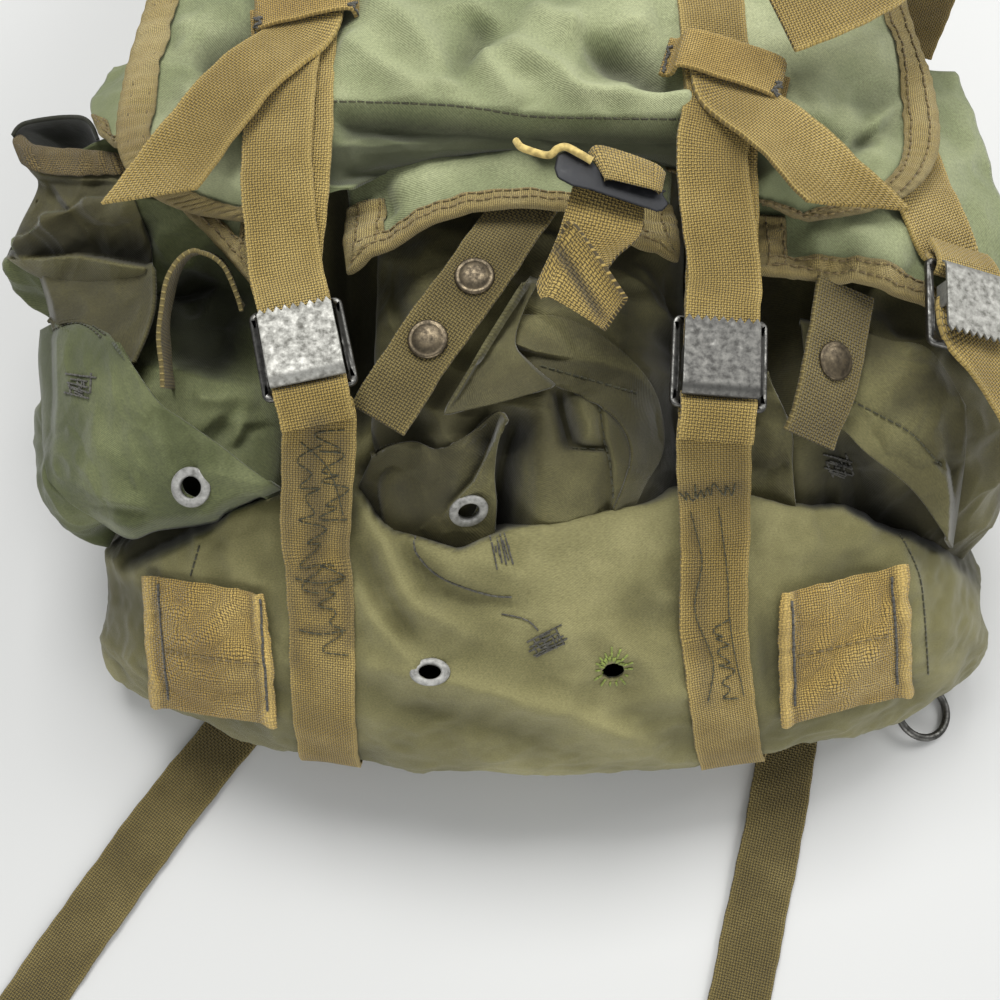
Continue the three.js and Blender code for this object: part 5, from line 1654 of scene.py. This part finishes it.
def placed(mesh, side, along, up, centre):
    """Moves a part from its own millimetre axes into the frame."""
    axes = Matrix((side, along, up)).transposed().to_4x4()
    move = Matrix.Translation(Vector(centre) * MM) @ axes @ Matrix.Scale(MM, 4)
    bmesh.ops.transform(mesh, matrix=move, verts=mesh.verts)
    bmesh.ops.recalc_face_normals(mesh, faces=mesh.faces)
    return mesh


def sharp_edges(mesh):
    return [edge for edge in mesh.edges if len(edge.link_faces) == 2 and edge.calc_face_angle() > SHARP]


def rounded(mesh, width, segments=2):
    bmesh.ops.bevel(mesh, geom=sharp_edges(mesh), offset=width, segments=segments, profile=0.5,
                    affect="EDGES", material=-1)
    return mesh


BUCKLE_FRAME = {"width": 33, "length": 35, "rail": 3, "steel": 2.2, "corner": 3}
FRAME_ROUND = 0.75


def frame_mesh(width, length, rail, steel, corner):
    """Flat frame with rounded corners and bars."""
    mesh = bmesh.new()
    bmesh.ops.create_grid(mesh, x_segments=1, y_segments=1, size=0.5)
    bmesh.ops.scale(mesh, vec=(width, length, 1), verts=mesh.verts)
    bmesh.ops.bevel(mesh, geom=mesh.verts[:], offset=corner, segments=4, profile=0.5, affect="VERTICES",
                    material=-1)
    middle = mesh.faces[:]
    bmesh.ops.inset_region(mesh, faces=middle, thickness=rail, use_boundary=True, use_even_offset=True)
    bmesh.ops.delete(mesh, geom=middle, context="FACES")
    bmesh.ops.solidify(mesh, geom=mesh.faces[:], thickness=steel)
    height = [vert.co.z for vert in mesh.verts]
    bmesh.ops.translate(mesh, vec=(0, 0, -(max(height) + min(height)) / 2), verts=mesh.verts)
    bmesh.ops.recalc_face_normals(mesh, faces=mesh.faces)
    return rounded(mesh, FRAME_ROUND, 3)


PLATE_WIDTH = 26
PLATE_LENGTH = 29
PLATE_TEETH = 9
TOOTH_DEPTH = 2.3
TOOTH_SHARE = 0.15
TOOTH_COLUMNS = 4
TEETH_RISE = 0.3
PLATE_ROWS = 28
PLATE_LIFT = 7.4
PLATE_STEEL = 1.1
PLATE_ROUND = 0.22
LIP_SHARE = 0.12
LIP_DROP = 2.2
DIMPLE_DEPTH = 0.7
DIMPLE_SPREAD = 1.1
EAR_SIZE = (1.2, 9, 5.4)
EAR_BACK = -1
EAR_DROP = 3.4


def plate_mesh(dimples):
    """Plate with a turned-down lip, teeth along the other edge and, on some, two pressed dimples."""
    mesh = bmesh.new()
    bmesh.ops.create_grid(mesh, x_segments=PLATE_TEETH * TOOTH_COLUMNS, y_segments=PLATE_ROWS, size=0.5)
    for vert in mesh.verts:
        u = vert.co.x + 0.5
        v = vert.co.y + 0.5
        tooth = abs((u * PLATE_TEETH) % 1 - 0.5) * 2
        near_teeth = max(0, (v - 1 + TOOTH_SHARE) / TOOTH_SHARE)
        y = (v - 0.5) * PLATE_LENGTH - TOOTH_DEPTH * tooth * near_teeth
        near_lip = max(0, (LIP_SHARE - v) / LIP_SHARE)
        z = PLATE_LIFT - LIP_DROP * near_lip ** 2 + TEETH_RISE * near_teeth ** 2
        for across, along in dimples:
            gap = (u * PLATE_WIDTH - across) ** 2 + (v * PLATE_LENGTH - along) ** 2
            z -= DIMPLE_DEPTH * math.exp(-gap / DIMPLE_SPREAD)
        vert.co = ((u - 0.5) * PLATE_WIDTH, y, z)
    bmesh.ops.solidify(mesh, geom=mesh.faces[:], thickness=PLATE_STEEL)
    for sign in (-1, 1):
        ear = Matrix.Translation((sign * (PLATE_WIDTH - EAR_SIZE[0]) / 2, EAR_BACK, PLATE_LIFT - EAR_DROP))
        bmesh.ops.create_cube(mesh, size=1, matrix=ear @ Matrix.Diagonal((*EAR_SIZE, 1)))
    bmesh.ops.recalc_face_normals(mesh, faces=mesh.faces)
    return rounded(mesh, PLATE_ROUND)


DIMPLES = {"left": [], "right": [(8.5, 18), (17.5, 18)], "side": [(8.5, 11), (17.5, 11)]}
PLATE_METAL = {"left": STEEL, "right": BRUSHED, "side": STEEL}
for side, buckle in BUCKLES.items():
    axes = buckle_axes(buckle)
    frame_part = placed(frame_mesh(**BUCKLE_FRAME), *axes, buckle[:3])
    add_piece(f"buckle_{side}_frame", frame_part, RING_STEEL, [f"buckle_frame_{side}"])
    plate = placed(plate_mesh(DIMPLES[side]), *axes, buckle[:3])
    add_piece(f"buckle_{side}_plate", plate, PLATE_METAL[side], [f"buckle_plate_{side}"])


def spun(mesh, outline, steps):
    """Turns an outline once round the upright axis."""
    bmesh.ops.spin(mesh, geom=outline, cent=(0, 0, 0), axis=(0, 0, 1), angle=2 * math.pi, steps=steps,
                   use_merge=True, use_duplicate=False)
    bmesh.ops.remove_doubles(mesh, verts=mesh.verts, dist=1e-4)
    return mesh


TURNED_STEPS = 40


def turned(profile):
    """Turned part from a profile of radius and height."""
    mesh = bmesh.new()
    verts = [mesh.verts.new((radius, 0, height)) for radius, height in profile]
    edges = [mesh.edges.new(pair) for pair in zip(verts, verts[1:])]
    spun(mesh, verts + edges, TURNED_STEPS)
    bmesh.ops.recalc_face_normals(mesh, faces=mesh.faces)
    return mesh


def stand_on(mesh, place, normal, stretch=(1, 1)):
    normal = np.array(normal) / np.linalg.norm(normal)
    side = np.cross((0, 1, 0), normal)
    side /= np.linalg.norm(side)
    along = np.cross(normal, side)
    return placed(mesh, side * stretch[0], along * stretch[1], normal, place)


EYELET_PROFILE = [
    (4.3, -1.6), (4.2, 0.5), (4.5, 1.0), (5.1, 1.15), (6.9, 1.0),
    (7.6, 0.6), (7.8, -0.1), (6.4, 0.1), (4.3, -1.6),
]
PANEL_EYELET_LIFT = 0.9
PANEL_EYELET_STRETCH = (0.98, 0.68)
POCKET_EYELET_LIFT = 1.1
POCKET_EYELET_STRETCH = (0.95, 0.95)


def add_eyelet(name, place, normal, stretch):
    mesh = stand_on(turned(EYELET_PROFILE), place, normal, stretch)
    add_piece(f"{name}_ring", mesh, ZINC, [name])


add_eyelet("eyelet_bottom", *panel_place(*PANEL_HOLES["eyelet"], PANEL_EYELET_LIFT), PANEL_EYELET_STRETCH)
for name, (place, normal) in hole_places.items():
    side = name.split("_")[0]
    add_eyelet(f"eyelet_pocket_{side}", place + normal * POCKET_EYELET_LIFT, normal, POCKET_EYELET_STRETCH)

SNAP_PROFILE = [
    (0, 0), (7.0, 0), (7.3, 0.5), (7.0, 1.1), (6.3, 1.35),
    (5.8, 1.2), (5.3, 1.5), (4.2, 2.0), (2.4, 2.3), (0, 2.4),
]
SNAP_LIFT = WEBBING / 2 + 0.2
SNAPS = {"centre_upper": ("centre", 0.5), "centre_lower": ("centre", 0.74), "right": ("right", 0.45)}
for name, (side, share) in SNAPS.items():
    centre, _, up = ribbon_axes(TABS[side], one(share))
    normal = -up[0] if up[0][2] < 0 else up[0]
    cap = stand_on(turned(SNAP_PROFILE), centre[0] + normal * SNAP_LIFT, normal)
    add_piece(f"snap_{name}_cap", cap, BRONZE, [f"snap_{name}"])


# Slide buckle of moulded plastic: a paddle and a bar, with webbing over the bar and a folded end
def in_picture(places, heights):
    """Places in the picture brought to given heights."""
    ways = sight_lines(np.array(places, dtype=float))
    return EYE + ways * ((np.array(heights) - EYE[2]) / ways[:, 2])[:, None]


SLIDER_OUTLINE = [
    (554, 168), (557, 155), (566, 150), (591, 161), (601, 170), (607, 176), (662, 193),
    (668, 191), (669, 204), (663, 211), (657, 212), (590, 190), (572, 186), (557, 178),
]
SLIDER_HEIGHTS = np.interp([place[0] for place in SLIDER_OUTLINE], [554, 669], [203, 199])
SLIDER_THICK = 4
SLIDER_ROUND = 0.9


def slider_mesh():
    mesh = bmesh.new()
    points = in_picture(SLIDER_OUTLINE, SLIDER_HEIGHTS)
    verts = [mesh.verts.new(point) for point in points]
    bmesh.ops.contextual_create(mesh, geom=verts)
    grown = bmesh.ops.extrude_face_region(mesh, geom=mesh.faces[:])
    back = [item for item in grown["geom"] if isinstance(item, bmesh.types.BMVert)]
    bmesh.ops.translate(mesh, vec=-toward_eye(points).mean(axis=0) * SLIDER_THICK, verts=back)
    bmesh.ops.recalc_face_normals(mesh, faces=mesh.faces)
    rounded(mesh, SLIDER_ROUND, 3)
    bmesh.ops.scale(mesh, vec=(MM, MM, MM), verts=mesh.verts)
    return mesh


add_piece("slide_buckle_paddle", slider_mesh(), PLASTIC, ["slide_buckle"])
SLIDER_WEB = {
    "slide_buckle_web_loop": {
        "size": (26, 12), "grid": (30, 24), "swell": 4, "curl": (-7, 0, 0, 0), "creases": 0.3,
        "top": [(588, 152), (601, 145), (653, 162), (666, 173)],
        "right": [(666, 173), (662, 192)],
        "low": [(604, 178), (662, 192)],
        "left": [(588, 152), (604, 178)],
        "heights": (197, 197, 202, 204),
    },
    "slide_buckle_web_down": {
        "size": (26, 32), "grid": (30, 36), "creases": 0.6,
        "top": [(574, 182), (645, 206)],
        "right": [(645, 206), (640, 235), (618, 254), (602, 276)],
        "low": [(536, 284), (570, 284), (602, 276)],
        "left": [(574, 182), (563, 218), (556, 239), (536, 284)],
        "heights": (196, 194, 194, 192),
    },
    "slide_buckle_web_end": {
        "size": (24, 20), "grid": (30, 24), "creases": 0.6, "curl": (2, 2, 0, 0),
        "top": [(569, 225), (578, 230), (624, 299)],
        "right": [(624, 299), (603, 329)],
        "low": [(536, 284), (540, 298), (553, 299), (603, 329)],
        "left": [(569, 225), (551, 252), (536, 284)],
        "heights": (201, 199, 196, 194),
        "folds": [[-1.5, 6, -1.5, 6, [(545, 230), (559, 251), (598, 312), (610, 330)]]],
        # Painted shade along the end's fold
        "stains_and_crease_shade": [([(548, 236), (559, 251), (598, 312), (606, 324)], 6)],
    },
}
for name, layer in SLIDER_WEB.items():
    surface, tones = layer_surface(layer)
    body = sheet_mesh(*layer["grid"], surface, layer["size"], tones)
    add_piece(name, body, KHAKI, ["slide_buckle_webbing"], thickness=WEBBING, bevel=0.4)

# Tie cord from its free end to the buckle: places in the picture and their heights
CORD_RUN = [
    (516, 141), (521, 147), (531, 151), (545, 155), (552, 154),
    (557, 149), (566, 147), (580, 154), (592, 161),
]
CORD_HEIGHTS = [196, 198, 199, 200, 202, 203, 204, 204, 203]
CORD_THICK = 2.6
CORD_POINTS = 60


def add_cord():
    """Short round tie cord as a curve, from the buckle to its free end."""
    places = rows_at(in_picture(CORD_RUN, CORD_HEIGHTS), np.linspace(1, 0, CORD_POINTS)) * MM
    curve = bpy.data.curves.new("tie_end_cord", "CURVE")
    curve.dimensions = "3D"
    curve.bevel_depth = CORD_THICK / 2 * MM
    curve.bevel_resolution = 3
    curve.use_fill_caps = True
    line = curve.splines.new("POLY")
    line.points.add(len(places) - 1)
    for point, place in zip(line.points, places):
        point.co = (*place, 1)
    curve.materials.append(CORD_YARN)
    piece = bpy.data.objects.new("tie_end_cord", curve)
    bpy.context.scene.collection.objects.link(piece)
    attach(piece, "root")
    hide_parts("tie_end")


add_cord()

# Steel ring on its webbing hanger
RING_CENTRE = np.array([182, -207, 4.6])
RING_RADIUS = 12.2
RING_WIRE = 1.7
RING_STEPS = 72
WIRE_SIDES = 14
HANGER_WIDTH = 8
RING_TILT = math.radians(13)
RING_WAY = np.array([1, -0.1, 0]) / math.hypot(1, 0.1)
RING_AXIS = np.array([-RING_WAY[1], RING_WAY[0], 0])
HANGER_LOOP = [(-6.5, 3), (-3.8, 3.5), (0, 3.5), (3.9, 0), (0, -3.5), (-3.8, -2.9), (-6.5, -0.4)]


def ring_mesh():
    mesh = bmesh.new()
    wire = Matrix.Translation((RING_RADIUS, 0, 0)) @ Matrix.Rotation(math.pi / 2, 4, "X")
    section = bmesh.ops.create_circle(mesh, segments=WIRE_SIDES, radius=RING_WIRE, matrix=wire)
    return spun(mesh, section["verts"] + mesh.edges[:], RING_STEPS)


lean = np.array([math.cos(RING_TILT), 0, -math.sin(RING_TILT)])
ring_out = RING_WAY * lean[0] + np.array([0, 0, lean[2]])
ring_part = placed(ring_mesh(), ring_out, RING_AXIS, np.cross(ring_out, RING_AXIS), RING_CENTRE)
add_piece("ring_wire", ring_part, RING_STEEL, ["ring"])
wire_place = RING_CENTRE - ring_out * RING_RADIUS
hanger_yaw = math.degrees(math.atan2(RING_AXIS[1], RING_AXIS[0]))
hanger_places = [wire_place + RING_WAY * out + np.array([0, 0, up]) for out, up in HANGER_LOOP]
hanger_rows = [[*place, hanger_yaw, 0] for place in hanger_places]
add_ribbon("ring_hanger_webbing", hanger_rows, HANGER_WIDTH, KHAKI, ["ring_hanger"])


# Seams, mending and loose threads, laid where the camera sees them
chance = np.random.RandomState(7)
ZIGZAG_STRAY = 0.3
DARN_STRAY = 0.12


def zigzag(start, end, width, turns):
    """Line in the picture that swings from side to side, as an unsteady hand sews it."""
    start = np.array(start, dtype=float)
    way = np.array(end) - start
    side = np.array([-way[1], way[0]]) / np.hypot(*way)
    shares = np.linspace(0, 1, turns * 2 + 1)
    line = [start + way * share + side * width * (index % 2 - 0.5) for index, share in enumerate(shares)]
    return np.array(line) + chance.uniform(-ZIGZAG_STRAY * width, ZIGZAG_STRAY * width, (len(line), 2))


def darn(x, y, width, height, turn, count):
    """Close, uneven rows of thread across a mended spot."""
    lines = []
    for index in range(count):
        share = index / (count - 1) - 0.5
        reach = 0.5 * width * (0.6 + 0.4 * math.cos(index * 2.4))
        ahead = np.array([math.cos(turn), math.sin(turn)])
        middle = np.array([x, y]) + np.array([-ahead[1], ahead[0]]) * share * height
        ends = np.array([middle - ahead * reach, middle + ahead * reach])
        lines.append(ends + chance.uniform(-DARN_STRAY * height, DARN_STRAY * height, (2, 2)))
    return lines


def star(x, y, reach, count, inner=0.0):
    """Threads that run out from a spot."""
    lines = []
    for index in range(count):
        turn = 2 * math.pi * index / count
        way = np.array([math.cos(turn), math.sin(turn)]) * reach * (0.75 + 0.25 * math.cos(index * 2.1))
        lines.append([np.array([x, y]) + way * inner, np.array([x, y]) + way])
    return lines


SACK_SEAMS = [
    [(899, 534), (914, 563), (922, 594), (928, 677)],
    [(200, 545), (190, 580)],
]
FLAP_SEAMS = [[(330, 101), (411, 103), (470, 107), (523, 115), (560, 117), (690, 119)]]
POCKET_SEAMS = {
    "left_pocket_front_panel": [[(56, 325), (80, 320), (106, 336)], [(54, 329), (80, 324), (104, 339)]],
    "centre_pocket_gusset": [[(540, 366), (585, 379), (640, 394)]],
    "centre_pocket": [[(598, 405), (605, 440), (611, 463), (614, 502)], [(572, 449), (606, 451)]],
    "right_pocket_diagonal_fold": [[(850, 400), (885, 418), (914, 436), (944, 470)]],
}
PANEL_DARNS = [
    *darn(502, 551, 34, 16, 1.35, 9),
    *darn(548, 642, 42, 18, -0.45, 11),
    *darn(548, 642, 18, 30, 1.1, 7),
    [(415, 537), (417, 553), (441, 577), (487, 594), (518, 597)],
    [(501, 614), (527, 620), (542, 635)],
]
POCKET_DARNS = {
    "left_pocket_front_panel": [*darn(81, 387, 30, 20, 0.2, 9), *darn(81, 387, 20, 22, 1.4, 6)],
    "right_pocket": [*darn(839, 468, 36, 16, 0.3, 8), *darn(839, 468, 20, 20, 1.2, 6)],
}
STRAP_SCRIBBLES = {
    "sewn_strap_left_webbing": [
        zigzag((326, 430), (334, 520), 26, 6),
        zigzag((306, 450), (316, 590), 22, 7),
        zigzag((330, 560), (336, 655), 20, 5),
        [(300, 440), (330, 470), (345, 520)],
        [(296, 577), (320, 582), (348, 576)],
        [(300, 629), (322, 633), (352, 628)],
    ],
    "sewn_strap_right_webbing": [
        zigzag((672, 494), (738, 486), 12, 9),
        [(690, 510), (701, 560), (694, 610), (712, 660), (706, 705)],
        [(718, 505), (726, 570), (730, 630), (744, 700)],
        zigzag((716, 620), (728, 700), 16, 6),
    ],
}
LOOP_STITCHES = {
    "bottom_loop_left_webbing": [[(160, 583), (170, 698)], [(260, 598), (269, 714)]],
    "bottom_loop_right_webbing": [[(790, 600), (794, 706)], [(891, 576), (896, 684)]],
}
LOOP_SEAMS = {
    "bottom_loop_left_webbing": [[(168, 650), (266, 664)]],
    "bottom_loop_right_webbing": [[(796, 655), (890, 634)]],
}
KEEPER_TACKS = {
    "keeper_left_webbing": [zigzag((263, 36), (260, 18), 8, 6), zigzag((352, 24), (350, 4), 8, 7)],
    "keeper_right_webbing": [zigzag((668, 46), (664, 76), 8, 8), zigzag((776, 82), (771, 108), 8, 8)],
}


FRAYED_HOLE = star(612, 668, 22, 44, 0.5)


def sew(name, lines_by_piece, material, slot, node, length, gap, width=THREAD_WIDTH):
    """Stitches on several pieces, kept as one piece."""
    runs = []
    for over, lines in lines_by_piece.items():
        runs += seen_runs(lines, [over], WEBBING / 2 if "webbing" in over else 0)
    if runs:
        add_stitches(name, runs, material, slot, [node], length, gap, width)


sew("sack_seam_stitches", {"main_sack": SACK_SEAMS}, OLIVE_THREAD, "nylon_olive", "bag_body", 2.6, 0.8)
sew("flap_seam_stitches", {"storm_flap_cloth": FLAP_SEAMS}, OLIVE_THREAD, "nylon_sage", "storm_flap",
    2.6, 0.7)
sew("pocket_seam_stitches", POCKET_SEAMS, OLIVE_THREAD, "nylon_olive", "pocket_centre", 2.2, 0.9)
sew("panel_darning", {"main_sack": PANEL_DARNS}, GREY_THREAD, "nylon_olive", "bag_body", 2.4, 0.2, 0.5)
sew("pocket_darning", POCKET_DARNS, GREY_THREAD, "nylon_olive", "pocket_left", 2.4, 0.2, 0.6)
sew("strap_mending", STRAP_SCRIBBLES, OLIVE_THREAD, "webbing_khaki", "sewn_strap_left", 2.6, 0.6, 0.32)
sew("loop_edge_stitches", LOOP_STITCHES, GREY_THREAD, "webbing_tan", "bottom_loop_left", 2.2, 0.3, 0.9)
sew("loop_seam_stitches", LOOP_SEAMS, BROWN_THREAD, "webbing_tan", "bottom_loop_left", 2.4, 1.4)
sew("keeper_tacks", KEEPER_TACKS, GREY_THREAD, "webbing_tan", "keeper_left", 2.4, 0.2, 0.8)
sew("frayed_hole_threads", {"main_sack": FRAYED_HOLE}, GREEN_THREAD, "nylon_olive", "bag_body", 2.0, 0.1, 0.7)


# Plain studio: pale floor, soft lights from above, the right and the front, and soft light all round
FLOOR_DROP = 0.3
FLOOR_REACH = 3
ROOM_TINT = "#f9fcff"
ROOM_LIGHT = 0.5
LIGHT_AIM = Vector((0, -0.1, 0.1))
# Each light: place and size in metres, power in watts
LIGHTS = [
    ("light from above", (-0.12, 0.5, 1.3), (0.7, 0.6), 20),
    ("light from the right", (0.9, 0.35, 1.0), (0.6, 0.6), 9),
    ("light from the front", (0.1, -1.4, 0.55), (1.8, 0.8), 14),
]


def set_stage():
    floor_mesh = bmesh.new()
    bmesh.ops.create_grid(floor_mesh, x_segments=1, y_segments=1, size=FLOOR_REACH)
    bmesh.ops.translate(floor_mesh, vec=(0, 0, -FLOOR_DROP * MM), verts=floor_mesh.verts)
    data = bpy.data.meshes.new("floor")
    floor_mesh.to_mesh(data)
    floor_mesh.free()
    floor = bpy.data.objects.new("floor", data)
    bpy.context.scene.collection.objects.link(floor)
    material, tree = new_material("pale floor")
    solid = object_place(tree)
    cloud = noise_of(tree, solid, 2, 2)
    colour = ramp(tree, cloud, [(0.3, "#b6b6b4"), (0.7, "#bbbbb9")])
    close_material(tree, {"Base Color": colour, "Roughness": 0.6})
    data.materials.append(material)
    for name, place, size, power in LIGHTS:
        lamp = bpy.data.lights.new(name, "AREA")
        lamp.shape = "RECTANGLE"
        lamp.size = size[0]
        lamp.size_y = size[1]
        lamp.energy = power
        holder = bpy.data.objects.new(name, lamp)
        holder.location = place
        holder.rotation_euler = (LIGHT_AIM - holder.location).to_track_quat("-Z", "Y").to_euler()
        bpy.context.scene.collection.objects.link(holder)
    world = bpy.data.worlds.new("soft room")
    world.use_nodes = True
    background = world.node_tree.nodes["Background"]
    background.inputs["Color"].default_value = linear(ROOM_TINT)
    background.inputs["Strength"].default_value = ROOM_LIGHT
    bpy.context.scene.world = world
    bpy.context.scene.view_settings.view_transform = "Standard"


set_stage()
